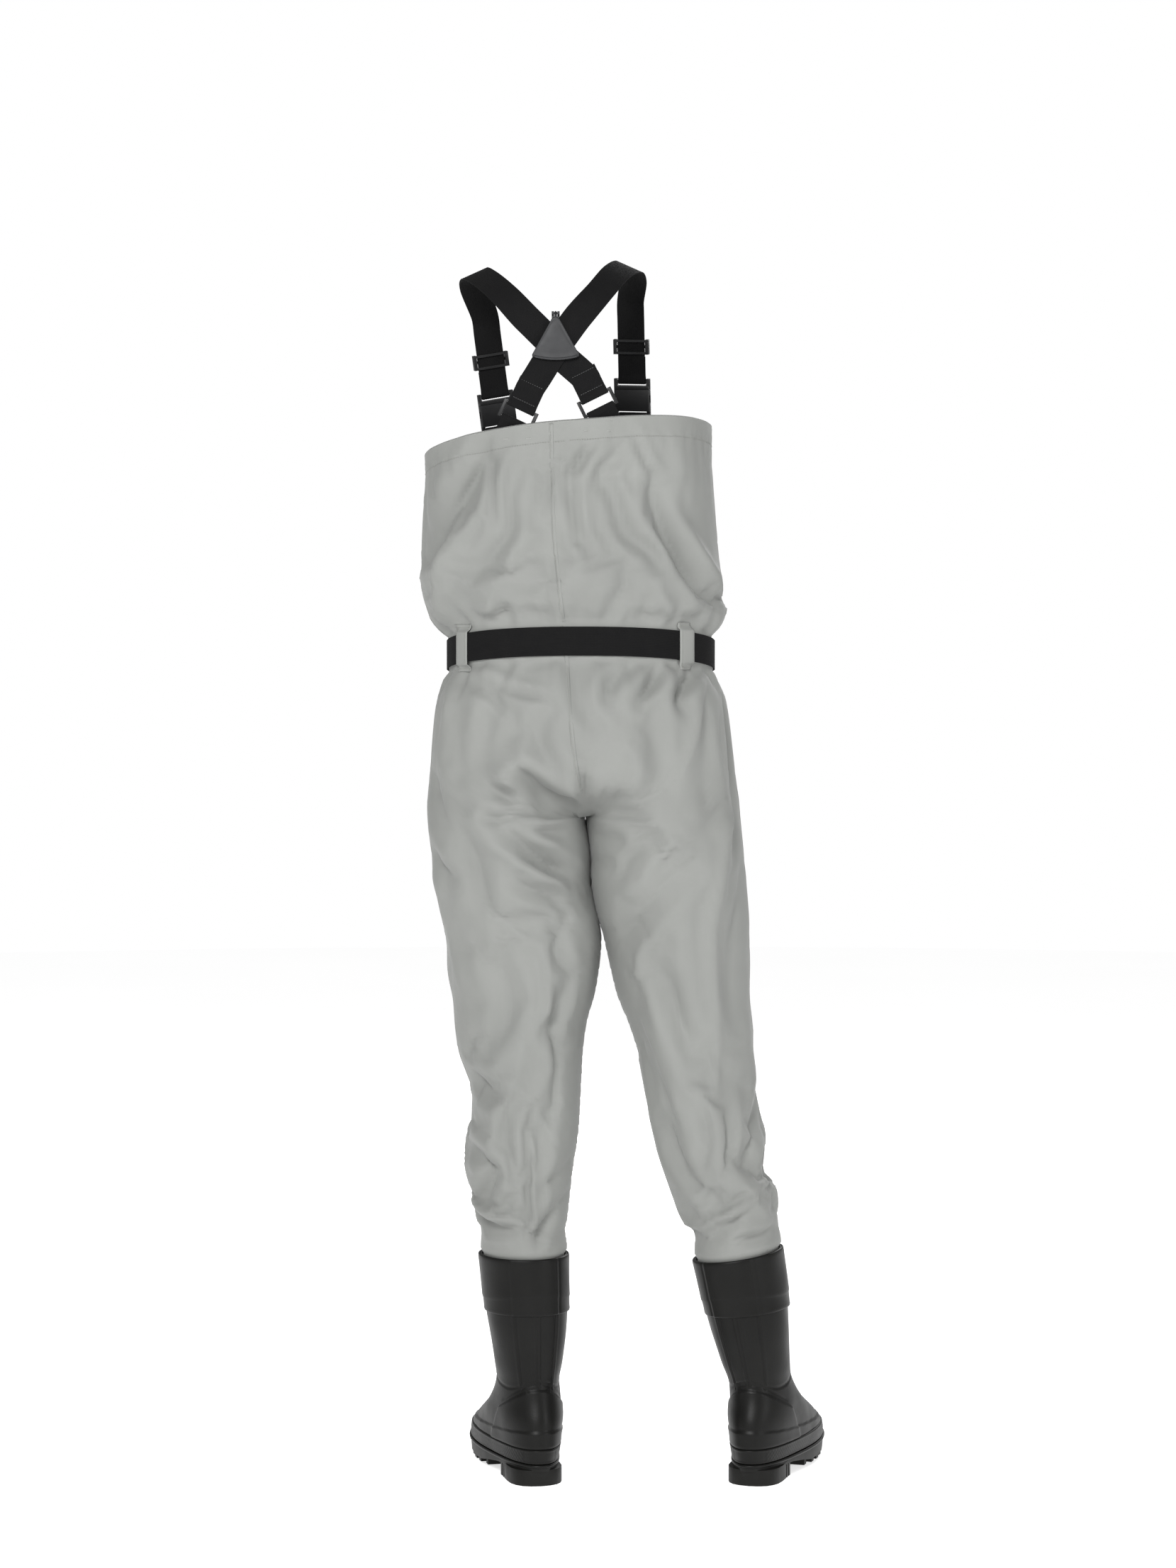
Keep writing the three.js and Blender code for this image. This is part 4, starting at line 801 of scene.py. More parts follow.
class Garment:
    """The fabric as one net of quads. ids[side, face] holds the points of a panel, row by column."""

    def __init__(self):
        self.levels = garment_levels()
        self.crotch_row = int(np.argmin(np.abs(self.levels - CROTCH)))
        rows, columns = len(self.levels), COLUMNS + 1
        self.u = np.linspace(0, 1, columns)
        self.ids = {(s, f): np.full((rows, columns), -1) for s in (1, -1) for f in (1, -1)}
        self.count = 0
        self.share_edges(rows)
        total = np.zeros((self.count, 3))
        self.nominal = np.zeros(self.count)
        weight = np.zeros(self.count)
        self.side, self.face = np.zeros(self.count), np.zeros(self.count)
        for (side, face), ids in self.ids.items():
            u, level = np.meshgrid(self.u, self.levels)
            points = skin(side, face, u, row_height(side, face, u, level))
            np.add.at(total, ids, points)
            np.add.at(weight, ids, 1.0)
            self.nominal[ids] = level
            np.add.at(self.side, ids, side)
            np.add.at(self.face, ids, face)
        self.points = total / weight[:, None]
        self.side, self.face = self.side / weight, self.face / weight
        self.faces = self.make_faces()

    def take(self, number):
        start = self.count
        self.count += number
        return np.arange(start, self.count)

    def share_edges(self, rows):
        turn = self.crotch_row
        for side in (1, -1):
            outseam = self.take(rows)
            inseam = self.take(rows - turn - 1)
            for face in (1, -1):
                self.ids[side, face][:, 0] = outseam
                self.ids[side, face][turn + 1:, -1] = inseam
        crotch = self.take(1)[0]
        for face in (1, -1):
            centre = self.take(turn)
            for side in (1, -1):
                self.ids[side, face][:turn, -1] = centre
                self.ids[side, face][turn, -1] = crotch
        for ids in self.ids.values():
            ids[ids < 0] = self.take(int((ids < 0).sum()))

    def make_faces(self):
        quads = []
        for (side, face), ids in self.ids.items():
            a, b, c, d = ids[:-1, :-1], ids[1:, :-1], ids[1:, 1:], ids[:-1, 1:]
            quad = np.stack([a, b, c, d] if side * face > 0 else [a, d, c, b], axis=-1)
            quads.append(quad.reshape(-1, 4))
        return np.vstack(quads)

    def normals(self):
        p = self.points[self.faces]
        face_normal = np.cross(p[:, 2] - p[:, 0], p[:, 3] - p[:, 1])
        total = np.zeros_like(self.points)
        for k in range(4):
            np.add.at(total, self.faces[:, k], face_normal)
        return unit(total)

    def push(self, distance, normals=None):
        normals = self.normals() if normals is None else normals
        self.points = self.points + normals * distance[:, None]


def cloudy(points, size, stretch, seed):
    """A smooth field from -1 to 1, drawn out along z by `stretch`."""
    place = points / vec(size, size, size * stretch) + seed
    return np.array([noise.noise(Vector(p)) for p in place])


def inner_thigh(g, normals):
    """1 where the cloth of one leg faces the other leg, below the crotch."""
    facing = smooth((np.abs(normals[:, 0]) - 0.6) / 0.25)
    return facing * (g.nominal < 896) * (np.abs(g.points[:, 0] + 18) < 60)


def shape_garment(g):
    """Folds, belt gathers and slack, on top of the surface that the CAD panels have."""
    x, z = g.points[:, 0], g.points[:, 2]
    normals = g.normals()
    behind = smooth(normals[:, 1] / 0.45)
    before = smooth(-normals[:, 1] / 0.45)
    tall = g.nominal
    angle = np.arctan2(g.points[:, 1], x - BELT_MIDDLE)
    from_belt = np.abs(tall - BELT_Z)
    free = smooth((from_belt - 22) / 16) * smooth((tall - 304) / 26)
    pocket = smooth((x + 100) / 22) * smooth((140 - x) / 22) * smooth((tall - 1176) / 20)
    height = behind * fold_height(x, z, BACK_FOLDS) + before * (1 - pocket) * fold_height(x, z, FRONT_FOLDS)
    # The thighs touch each other.
    inner = inner_thigh(g, normals)
    height = height * mix(1, 0.3, inner) + THIGH_PRESS * inner * smooth((tall - 728) / 26)
    # Behind the webbing tabs of the back rings the hem stays flat.
    tabs = smooth((46 - np.abs(x - 85)) / 16) + smooth((44 - np.abs(x + 20)) / 16)
    quiet = behind * np.minimum(1, tabs) * smooth((tall - 1354) / 20)
    height = np.where(height < 0, height * (1 - quiet), height)
    slack = 1.0 * cloudy(g.points, 62.0, 1.8, 3.1) + 0.6 * cloudy(g.points, 27.0, 1.5, 8.4)
    facets = 6.0 * (np.abs(cloudy(g.points, 95.0, 2.2, 1.7)) - 0.2)
    facets += 2.6 * (np.abs(cloudy(g.points, 44.0, 1.7, 6.2)) - 0.2)
    height = height + (slack + facets * (1 - quiet)) * (1 - pocket * before) * (1 - 0.8 * inner)
    # Gathers where the belt draws the fabric in, and the fabric pressed against the belt itself.
    gather = np.zeros_like(x)
    for turns, phase, share in ((11, 0.4, 0.9), (19, 1.7, 0.8), (31, 4.0, 0.6), (47, 2.2, 0.4)):
        gather += share * np.sin(turns * angle + phase)
    close = bump(np.maximum(from_belt - 26, 0), 28) * smooth((from_belt - 19) / 10)
    height = height * free + 2.2 * gather * close
    height += 3.2 * (1 - smooth((from_belt - 17) / 9))
    height += CUFF_FILL * smooth((tall - 304) / 4) * smooth((340 - tall) / 28)
    hem = smooth((tall - 1372) / 4)
    height = height * mix(1, 0.72, smooth((tall - 1340) / 50))
    height = height + 0.55 * hem - 0.75 * bump(tall - HEM_LINE, 1.7)
    g.push(height, normals)


# ---- settling the cloth ----
def hold_weights(g):
    """How firmly each point keeps its place: fully at the hem, belt, pocket and boots, loosely elsewhere."""
    x, tall = g.points[:, 0], g.nominal
    normals = g.normals()
    firm = [
        smooth((tall - 1366) / 22),
        smooth((78 - np.abs(tall - BELT_Z)) / 50),
        smooth((352 - tall) / 44),
        0.6 * inner_thigh(g, normals),
    ]
    pocket = smooth((x + 96) / 14) * smooth((136 - x) / 14) * smooth((tall - 1180) / 14)
    firm.append(pocket * (normals[:, 1] < 0))
    return np.maximum(np.maximum.reduce(firm), LOOSE)


def settle(g):
    """A short cloth simulation under gravity, with a little spare cloth. The net takes its result."""
    mesh = bpy.data.meshes.new("settling")
    mesh.from_pydata([tuple(p) for p in row_frame(g.points)], [], [tuple(int(i) for i in f) for f in g.faces])
    obj = bpy.data.objects.new("settling", mesh)
    bpy.context.scene.collection.objects.link(obj)
    group = obj.vertex_groups.new(name="hold")
    for i, weight in enumerate(hold_weights(g)):
        group.add([i], float(weight), "REPLACE")
    cloth_modifier = obj.modifiers.new("cloth", "CLOTH")
    cloth_modifier.point_cache.frame_end = SETTLE_FRAMES
    settings = cloth_modifier.settings
    for key, value in CLOTH_SETTINGS.items():
        setattr(settings, key, value)
    settings.effector_weights.gravity = WEIGHT
    cloth_modifier.collision_settings.use_collision = False
    cloth_modifier.collision_settings.use_self_collision = False
    scene = bpy.context.scene
    for step in range(1, SETTLE_FRAMES + 1):
        scene.frame_set(step)
    settled = obj.evaluated_get(bpy.context.evaluated_depsgraph_get()).to_mesh()
    place = np.zeros(3 * g.count, np.float32)
    settled.vertices.foreach_get("co", place)
    move = place.reshape(-1, 3) * 1000.0 - ORIGIN_SHIFT - g.points
    size = np.linalg.norm(move, axis=1, keepdims=True)
    g.points = g.points + move * np.minimum(1, MOST_MOVE / np.maximum(size, 1e-6))
    bpy.data.objects.remove(obj)
    bpy.data.meshes.remove(mesh)
    scene.frame_set(1)


def uv_of_panels(g, faces_of):
    """Distances over the cloth, in metres, for each face corner."""
    uv = np.zeros((g.count, 2))
    for (side, face), ids in g.ids.items():
        p = g.points[ids]
        across = np.concatenate(
            [np.zeros((len(p), 1)), np.cumsum(np.linalg.norm(np.diff(p, axis=1), axis=2), axis=1)], axis=1)
        uv[ids, 0] = side * face * across
        uv[ids, 1] = g.nominal[ids]
    return uv[faces_of.ravel()] / 1000


def wall_thickness(g):
    """Three layers in the turned hem, one elsewhere."""
    return mix(FABRIC, 2.4, smooth((g.nominal - 1371) / 5))


def garment_piece(g):
    """Outer and inner faces of the cloth, joined round the hem and the ankles."""
    normals = g.normals()
    thick = wall_thickness(g)[:, None]
    inner = g.points - normals * thick
    rim, faces = [], [tuple(f) for f in g.faces] + [tuple(f[::-1] + g.count) for f in g.faces]
    outer_uv = uv_of_panels(g, g.faces)
    inner_uv = uv_of_panels(g, g.faces[:, ::-1])
    uv = [outer_uv, inner_uv]
    next_id = 2 * g.count
    for loop, up in edge_loops(g):
        middle = (g.points[loop] + inner[loop]) / 2 + vec(0, 0, up * 0.9)
        rim.append(middle)
        rim_ids = np.arange(next_id, next_id + len(loop))
        next_id += len(loop)
        for k in range(len(loop)):
            j = (k + 1) % len(loop)
            a, b = loop[k], loop[j]
            first = (a, b, rim_ids[j], rim_ids[k])
            second = (rim_ids[k], rim_ids[j], b + g.count, a + g.count)
            faces += [first, second] if up < 0 else [first[::-1], second[::-1]]
            uv.append(np.array([[0, 0], [0.005, 0], [0.005, 0.001], [0, 0.001]] * 2))
    points = np.vstack([g.points, inner] + rim)
    return make_piece(
        "waders_fabric", (points, faces, np.vstack(uv)), "fabric",
        replaces=["left_back_panel", "right_back_panel", "left_front_panel", "right_front_panel"])


def edge_loops(g):
    """The hem and the two ankle ends, as closed loops of points with the side that their rim faces."""
    hem = np.concatenate([
        g.ids[1, 1][0, :-1], g.ids[-1, 1][0, ::-1][:-1], g.ids[-1, -1][0, :-1], g.ids[1, -1][0, ::-1][:-1]])
    yield hem, 1
    for side in (1, -1):
        ankle = np.concatenate([g.ids[side, 1][-1, :-1], g.ids[side, -1][-1, ::-1][:-1]])
        yield (ankle if side > 0 else ankle[::-1]), -1


class Surface:
    """The finished cloth, for finding the nearest place on it."""

    def __init__(self, g):
        faces = [tuple(int(i) for i in f) for f in g.faces]
        self.tree = BVHTree.FromPolygons([tuple(p) for p in g.points], faces)

    def nearest(self, point):
        place, normal, _, _ = self.tree.find_nearest(Vector(point))
        return np.array(place), np.array(normal)

    def seen_from(self, x, z, face):
        """Where a line along y from behind (face 1) or in front (face -1) meets the cloth."""
        place, normal, _, _ = self.tree.ray_cast(Vector((x, face * 600.0, z)), Vector((0, -face, 0)))
        return (None, None) if place is None else (np.array(place), np.array(normal))

    def line(self, xz, face, count):
        """A line on the cloth through points given by x and z."""
        found = [self.seen_from(x, z, face)[0] for x, z in spline(xz, count)]
        return np.array([p for p in found if p is not None])


def strip_on(surface, path, profile):
    """A flat band that follows the cloth. profile holds (across, height) pairs for its upper side."""
    tangent = unit(np.gradient(path, axis=0))
    rings = []
    for place, along in zip(path, tangent):
        centre, normal = surface.nearest(place)
        across = unit(np.cross(normal, along))
        upper, lower = [], []
        for a, height in profile:
            p, n = surface.nearest(centre + across * a)
            upper.append(p + n * height)
            lower.append(p - n * 0.35)
        rings.append(upper + lower[::-1])
    return loft(np.array(rings))


def thread_piece(name, runs, body="waders", material="seam_thread"):
    return make_piece(name, merge(runs), material, body)


# ---- camera, light and floor ----
def make_camera():
    data = bpy.data.cameras.new("camera")
    data.lens = 85
    data.sensor_width = 36
    data.clip_end = 100
    obj = bpy.data.objects.new("camera", data)
    obj.location = CAMERA_PLACE
    obj.rotation_euler = (math.pi / 2 - CAMERA_DIP, 0, math.pi)
    bpy.context.scene.collection.objects.link(obj)
    bpy.context.scene.camera = obj


def area_light(name, place, target, size, power):
    data = bpy.data.lights.new(name, "AREA")
    data.shape = "RECTANGLE"
    data.size, data.size_y = size
    data.energy = power
    obj = bpy.data.objects.new(name, data)
    obj.location = place
    obj.rotation_euler = (Vector(target) - Vector(place)).to_track_quat("-Z", "Y").to_euler()
    bpy.context.scene.collection.objects.link(obj)


def make_world():
    """White behind the object, and a weaker even light from all round."""
    world = bpy.data.worlds.new("studio")
    world.use_nodes = True
    nodes_of, links = world.node_tree.nodes, world.node_tree.links
    seen = nodes_of.new("ShaderNodeLightPath")
    amount = nodes_of.new("ShaderNodeMapRange")
    amount.inputs["To Min"].default_value = AMBIENT
    amount.inputs["To Max"].default_value = 1.0
    links.new(seen.outputs["Is Camera Ray"], amount.inputs["Value"])
    links.new(amount.outputs["Result"], nodes_of["Background"].inputs["Strength"])
    nodes_of["Background"].inputs["Color"].default_value = (1, 1, 1, 1)
    bpy.context.scene.world = world


def make_stage():
    n = Nodes("floor", (0.9, 0.9, 0.9), 0.9, Emission_Color=(1, 1, 1, 1), Emission_Strength=0.64)
    n.link(n.ramp(n.noise(1.5, 3.0), (0.88, 0.88, 0.88), (0.9, 0.9, 0.9)), "Base Color")
    bpy.ops.mesh.primitive_circle_add(vertices=96, radius=9, fill_type="NGON", location=(0, 0, 0))
    floor = bpy.context.object
    floor.name = "floor"
    floor.data.materials.append(n.material)
    make_world()
    bpy.context.scene.view_settings.view_transform = "Standard"
    for light in LIGHTS:
        area_light(*light)


# ---- places: frames of hardware, with the same axes as in the CAD part ----
class Place:
    """An origin and three axes. Calling it takes points from this frame to the drawing frame."""

    def __init__(self, origin, x, y, z):
        self.origin = np.asarray(origin, float)
        self.axes = np.array([x, y, z], float)

    def __call__(self, points):
        return self.origin + np.asarray(points, float) @ self.axes

    def moved(self, along):
        return Place(self.origin + self.axes[2] * along, *self.axes)


def ring_place(side):
    x, z, up = BACK_RING[side]
    out = bib_normal(1, x, 1395)
    centre = vec(x, bib_depth(1, x, 1395), z) - out * (FABRIC + 4.9)
    width = unit(np.cross(out, up))
    return Place(centre, width, out, np.cross(width, out))


def front_place(side):
    """z runs up the strap and y points away from the wearer."""
    x, z, way = FRONT_RUN[side]
    out = bib_normal(-1, x, z)
    start = vec(x, bib_depth(-1, x, z), z) - out * (FABRIC + 2.6)
    along = unit(way)
    width = unit(np.cross(out, along))
    return Place(start, width, unit(np.cross(along, width)), along)


KEEPER_PLACE = Place(
    (35, 117, 1512), (1, 0, 0), (0, math.cos(KEEPER_LEAN), math.sin(KEEPER_LEAN)),
    (0, -math.sin(KEEPER_LEAN), math.cos(KEEPER_LEAN)))
BELT_BUCKLE = Place(
    (BELT_MIDDLE, -(BELT_HALF_FRONT + 2.4), BELT_Z + BELT_FRONT), (0, 0, 1), (0, -1, 0), (1, 0, 0))


# ---- webbing ----
def eye(bar, way, first, last, layer=0.85):
    """Webbing round a bar, as (y, z) points: it comes in behind, goes round, and leaves in front.
    first and last are how long the two ends are. way is the direction, along z, in which both ends leave
    the bar."""
    radius = BAR_RADIUS + 0.15 + WEBBING_THICK / 2
    turn = np.linspace(0, math.pi, 13)
    arc = np.stack([-radius * np.cos(turn), -way * radius * np.sin(turn)], axis=1)
    behind = [[-layer, way * first], [-layer, way * 14], [-layer - 0.3, way * 8], [-radius * 0.85, way * 3.4]]
    before = [[radius * 0.85, way * 3.4], [layer + 0.3, way * 8], [layer, way * 14], [layer, way * last]]
    path = np.vstack([behind, arc, before])
    return path + vec(0, bar)


def in_plane(place, path):
    """Points (y, z) of a place's own middle plane, in the drawing frame."""
    return place(np.column_stack([np.zeros(len(path)), path]))


def flat_sides(path, width_axis):
    """The way that webbing faces along a path that stays at right angles to its width."""
    return np.cross(width_axis, unit(np.gradient(path, axis=0)))


def tab_piece(name, node, place, bar, length, way=-1):
    path = in_plane(place, spline(eye(bar, way, length, length), 70))
    shape = sweep(path, flat_sides(path, place.axes[0]), webbing_profile())
    make_piece(name, shape, "webbing", replaces=[node])


CROSSINGS = {
    # Strap: its back ring, its front run, its layer in the keeper, its line in the keeper, over the shoulder.
    "left": (-1, 1, -1.1, [(-10, -24), (2, -9), (15, 4), (29, 18), (40, 29)],
             [(104, 94, 1573), (130, 48, 1598), (145, 0, 1608), (147, -38, 1597)],
             [(0.1, 0.8, 0.6), (0.3, 0.45, 0.85), (0.42, 0, 0.9), (0.35, -0.5, 0.8)]),
    "right": (1, -1, 1.1, [(22, -47), (8, -24), (-1, -10), (-11, 4), (-21, 18), (-30, 30)],
              [(-22, 94, 1575), (-46, 48, 1606), (-63, 0, 1617), (-68, -38, 1606)],
              [(-0.1, 0.8, 0.6), (-0.3, 0.45, 0.85), (-0.42, 0, 0.9), (-0.35, -0.5, 0.8)]),
}


def suspender(name):
    """One strap: round its back ring, through the keeper, over the shoulder, round the buckle plug's bar."""
    ring_side, front_side, layer, cross, over, lean = CROSSINGS[name]
    ring, front = ring_place(ring_side), front_place(front_side)
    back_eye = in_plane(ring, spline(eye(RING_BAR, 1, 38, 20), 60))
    back_outs = flat_sides(back_eye, ring.axes[0])
    middle = [ring((0, 0.85, RING_BAR + d)) for d in (20, 27)]
    middle += [KEEPER_PLACE((x, layer - 0.09 * max(0, z - 15), z)) for x, z in cross]
    middle += [vec(*p) for p in over]
    down = (STRAIGHT_END, 165, 143, STRAP_END, MOUTH + PLUG_BAR + 14)
    middle += [front((0, -LAYER, along)) for along in down]
    outs = [ring.axes[1]] * 2 + [KEEPER_PLACE.axes[1]] * len(cross)
    outs += [unit(p) for p in lean] + [front.axes[1]] * len(down)
    run = spline(np.hstack([middle, outs]), 230)
    front_eye = in_plane(front, spline(eye(MOUTH + PLUG_BAR, 1, 14, 34, LAYER), 60))
    front_outs = flat_sides(front_eye, -front.axes[0])
    path = np.vstack([back_eye[:-1], run[:, :3], front_eye[1:]])
    facing = np.vstack([back_outs[:-1], -run[:, 3:], front_outs[1:]])
    shape = sweep(path, facing, webbing_profile())
    strap = make_piece(f"{name}_suspender", shape, "webbing", None,
                       replaces=[f"{name}_suspender_strap", f"{name}_strap_turn"])
    start, end = row_frame(over[2]), row_frame(front((0, 0, STRAIGHT_END)))
    tuple(start)
    tuple(end)
    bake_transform(strap)
    rows = [ring(vec(0, 1.85, RING_BAR + d)) for d in (9, 34)]
    runs = [row_of_stitches(p, ring.axes[0], ring.axes[1], 34) for p in rows]
    thread_piece(f"{name}_suspender_stitching", runs, material="black_thread")


def bead(first, last, normal, width=0.5, lift=0.25):
    """A stitch between two points on a flat place."""
    across = unit(np.cross(normal, last - first))
    turn = np.linspace(0, 2 * math.pi, 6, endpoint=False)
    rings = []
    for s, radius, rise in STITCH_PROFILE:
        middle = first + (last - first) * s + normal * lift * rise
        rings.append(
            middle + np.outer(np.cos(turn), across) * width * radius
            + np.outer(np.sin(turn), normal) * width * 0.6 * radius)
    return loft(np.array(rings))


def row_of_stitches(middle, along, normal, length, pitch=3.2, stitch_length=2.2, width=0.5):
    """A straight row of stitches on a flat place."""
    count = int(length / pitch)
    return merge([
        bead(middle + along * ((k - (count - 1) / 2) * pitch - stitch_length / 2),
             middle + along * ((k - (count - 1) / 2) * pitch + stitch_length / 2), normal, width)
        for k in range(count)
    ])


def belt():
    """The belt round the waist, with its end turned back round the socket's bar and sewn down."""
    def end_angle(x):
        share = abs((x - BELT_MIDDLE) / BELT_HALF_WIDTH) ** (TORSO_POWER / 2)
        return -math.acos(math.copysign(share, x - BELT_MIDDLE))

    bar = BELT_BUCKLE((0, 0, SOCKET_BAR))
    run = belt_point(np.linspace(end_angle(50.5), end_angle(-46) + 2 * math.pi, 150), 0, 0.8)
    radius = BAR_RADIUS + 0.15 + WEBBING_THICK / 2
    turn = np.linspace(0, math.pi, 12)
    arc = np.tile(bar, (12, 1)) + np.outer(np.sin(turn), vec(radius, 0, 0))
    arc += np.outer(np.cos(turn), vec(0, radius, 0))
    back = belt_point(np.linspace(end_angle(-46), end_angle(-84), 12), 0, 2.5)
    corners = np.vstack([run[-1:], bar + vec(-5, 2.6, 0), arc, bar + vec(-5, -2.2, 0), back])
    path = np.vstack([run[:-1], spline(corners, 70)])
    middle = vec(BELT_MIDDLE, 0, 0)
    across = np.tile(vec(0, 0, 1), (len(path), 1))
    facing = np.cross(across, unit(np.gradient(path, axis=0)))
    shape = sweep(path, facing, webbing_profile(ribs=17))
    make_piece("belt", shape, "webbing", replaces=["belt_webbing"])
    runs = []
    for x in (-52, -78):
        angle = end_angle(x)
        place = belt_point(np.array(angle), 0, 3.35)
        out = unit((place - middle) * vec(0.2, 1, 0))
        runs.append(row_of_stitches(place, vec(0, 0, 1), out, 34))
    thread_piece("belt_stitching", runs, material="black_thread")

    bar = BELT_BUCKLE((0, 0, PLUG_BAR))
    under = belt_point(np.linspace(end_angle(48), end_angle(30), 7), 0, 2.5)
    arc[:, 0] = bar[0] - radius * np.sin(turn)
    arc[:, 1] = bar[1] + radius * np.cos(turn)
    over = belt_point(np.linspace(end_angle(26), end_angle(96), 30), 0, 5.4)
    corners = np.vstack([under, bar + vec(6, 2.5, 0), arc, bar + vec(5, -2.6, 0), over])
    path = spline(corners, 110)
    facing = np.cross(np.tile(vec(0, 0, 1), (len(path), 1)), unit(np.gradient(path, axis=0)))
    shape = sweep(path, facing, webbing_profile(ribs=17))
    make_piece("belt_free_end", shape, "webbing", "belt_plug", replaces=["belt_tail"])


def belt_loop(name, angle, surface):
    """A folded strip of the garment's fabric over the belt, sewn down above and below it."""
    reach, rows, columns = 31.0, 33, 9
    ups = np.linspace(reach, -reach, rows)
    flare = 1 + 0.05 * (ups / reach) ** 2
    shares = np.linspace(-1, 1, columns)
    lift = belt_point(np.array(angle))[2] - BELT_Z
    grid = np.zeros((rows, columns, 3))
    outs = np.zeros_like(grid)
    for k, share in enumerate(shares):
        a = angle + share * 13.2 / 150
        band = belt_point(np.full(rows, a), ups, WEBBING_THICK)
        out = unit((band - vec(BELT_MIDDLE, 0, 0)) * vec(1, 1, 0))
        side = unit(np.cross(out, vec(0, 0, 1)))
        reach_of_band = ((band - vec(BELT_MIDDLE, 0, 0)) * out).sum(axis=1)
        distance = []
        for i, up in enumerate(ups):
            origin = vec(BELT_MIDDLE, 0, BELT_Z + lift + up)
            hit = surface.tree.ray_cast(Vector(origin + out[i] * 400), Vector(-out[i]))[0]
            on_cloth = (np.array(hit) - origin) @ out[i] + 0.35
            distance.append(max(on_cloth, reach_of_band[i] + 0.5 if abs(up) < 21.5 else 0))
        distance = np.array(distance)
        for _ in range(3):
            distance[1:-1] = np.maximum(distance[1:-1], (distance[:-2] + distance[1:-1] + distance[2:]) / 3)
        base = np.stack([np.full(rows, BELT_MIDDLE), np.zeros(rows), BELT_Z + lift + ups], axis=1)
        widening = side * ((flare - 1) * share * -13.2)[:, None]
        grid[:, k] = base + out * distance[:, None] + widening
        outs[:, k] = out
    edge = 0.55 * np.abs(shares) ** 8
    top = grid + outs * (1.25 - edge)[None, :, None]
    rings = np.concatenate([top, grid[:, ::-1]], axis=1)
    make_piece(f"{name}_loop", loft(rings), "fabric", replaces=[f"{name}_belt_loop"])
    runs = []
    for k in (1, columns - 2):
        line = top[:, k] + outs[:, k] * 0.05
        runs.append(beads_along(line, outs[:, k], 3.0))
    for i in (2, rows - 3):
        line = top[i, 1:-1] + outs[i, 1:-1] * 0.05
        runs.append(beads_along(line, outs[i, 1:-1], 2.6))
    thread_piece(f"{name}_loop_stitching", runs, material="seam_thread")


def between(s, along, rows):
    """The row of a table at distance s, where along holds the rows' distances."""
    return vec(*[np.interp(s, along, rows[:, c]) for c in range(3)])


def beads_along(line, normals, pitch, length=2.0, width=0.42):
    """Stitches along a line whose outward direction is known at each point."""
    along = lengths(line)
    parts = []
    for k in range(int(along[-1] / pitch)):
        middle = (k + 0.5) * pitch
        ends = [between(middle + s * length, along, line) for s in (-0.5, 0.5)]
        normal = unit(between(middle, along, normals))
        parts.append(bead(*ends, normal, width))
    return merge(parts)


# ---- moulded hardware ----
def body_of_node(name):
    for body, members in frame["record"]["behaviour"]["bodies"].items():
        if name in members:
            return body
    return "waders"


def rounded_copy(node, name, finish, width=0.7, sharp=28):
    """The CAD node's shape with its edges rounded, as a piece that stands for it."""
    mesh = nodes[node].data.copy()
    mesh.name = name
    made = bmesh.new()
    made.from_mesh(mesh)
    bmesh.ops.remove_doubles(made, verts=made.verts, dist=2e-6)
    bmesh.ops.dissolve_limit(made, angle_limit=math.radians(1), verts=made.verts, edges=made.edges)
    edges = [e for e in made.edges if len(e.link_faces) == 2 and e.calc_face_angle(0) > math.radians(sharp)]
    bmesh.ops.bevel(made, geom=edges, offset=width / 1000, segments=2, profile=0.6, affect="EDGES",
                    clamp_overlap=True)
    bmesh.ops.recalc_face_normals(made, faces=made.faces)
    made.to_mesh(mesh)
    made.free()
    mesh.materials.clear()
    mesh.materials.append(MAT[finish])
    mesh.polygons.foreach_set("use_smooth", [True] * len(mesh.polygons))
    mesh.set_sharp_from_angle(angle=math.radians(34))
    obj = bpy.data.objects.new(name, mesh)
    bpy.context.scene.collection.objects.link(obj)
    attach(obj, body_of_node(node))
    SLOTS.get(finish, finish)
    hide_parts(node)
    return obj


def rounded_bar(place, x0, x1, y, z, radius, flatten=1.0):
    """A short bar along the place's x axis with rounded ends."""
    turn = np.linspace(0, 2 * math.pi, 12, endpoint=False)
    rings = []
    for x, share in ((x0, 0.55), (x0 + radius * 0.5, 1), (x1 - radius * 0.5, 1), (x1, 0.55)):
        reach = radius * share
        rings.append(place([(x, y + flatten * reach * math.cos(t), z + reach * math.sin(t)) for t in turn]))
    return loft(np.array(rings))


def grips(name, place, body):
    """Thumb ridges across the outer face of a buckle's socket, and one along its plug's root."""
    bars = [rounded_bar(place, -13, 13, 5.5, z, 0.7, 0.8) for z in (-22, -19.5, -17)]
    make_piece(f"{name}_socket_ridges", bare(merge(bars)), "buckle")
    bars = [rounded_bar(place, -15, 15, 5.45, 3.0, 0.8, 0.7)]
    make_piece(f"{name}_plug_ridge", bare(merge(bars)), "buckle", body)


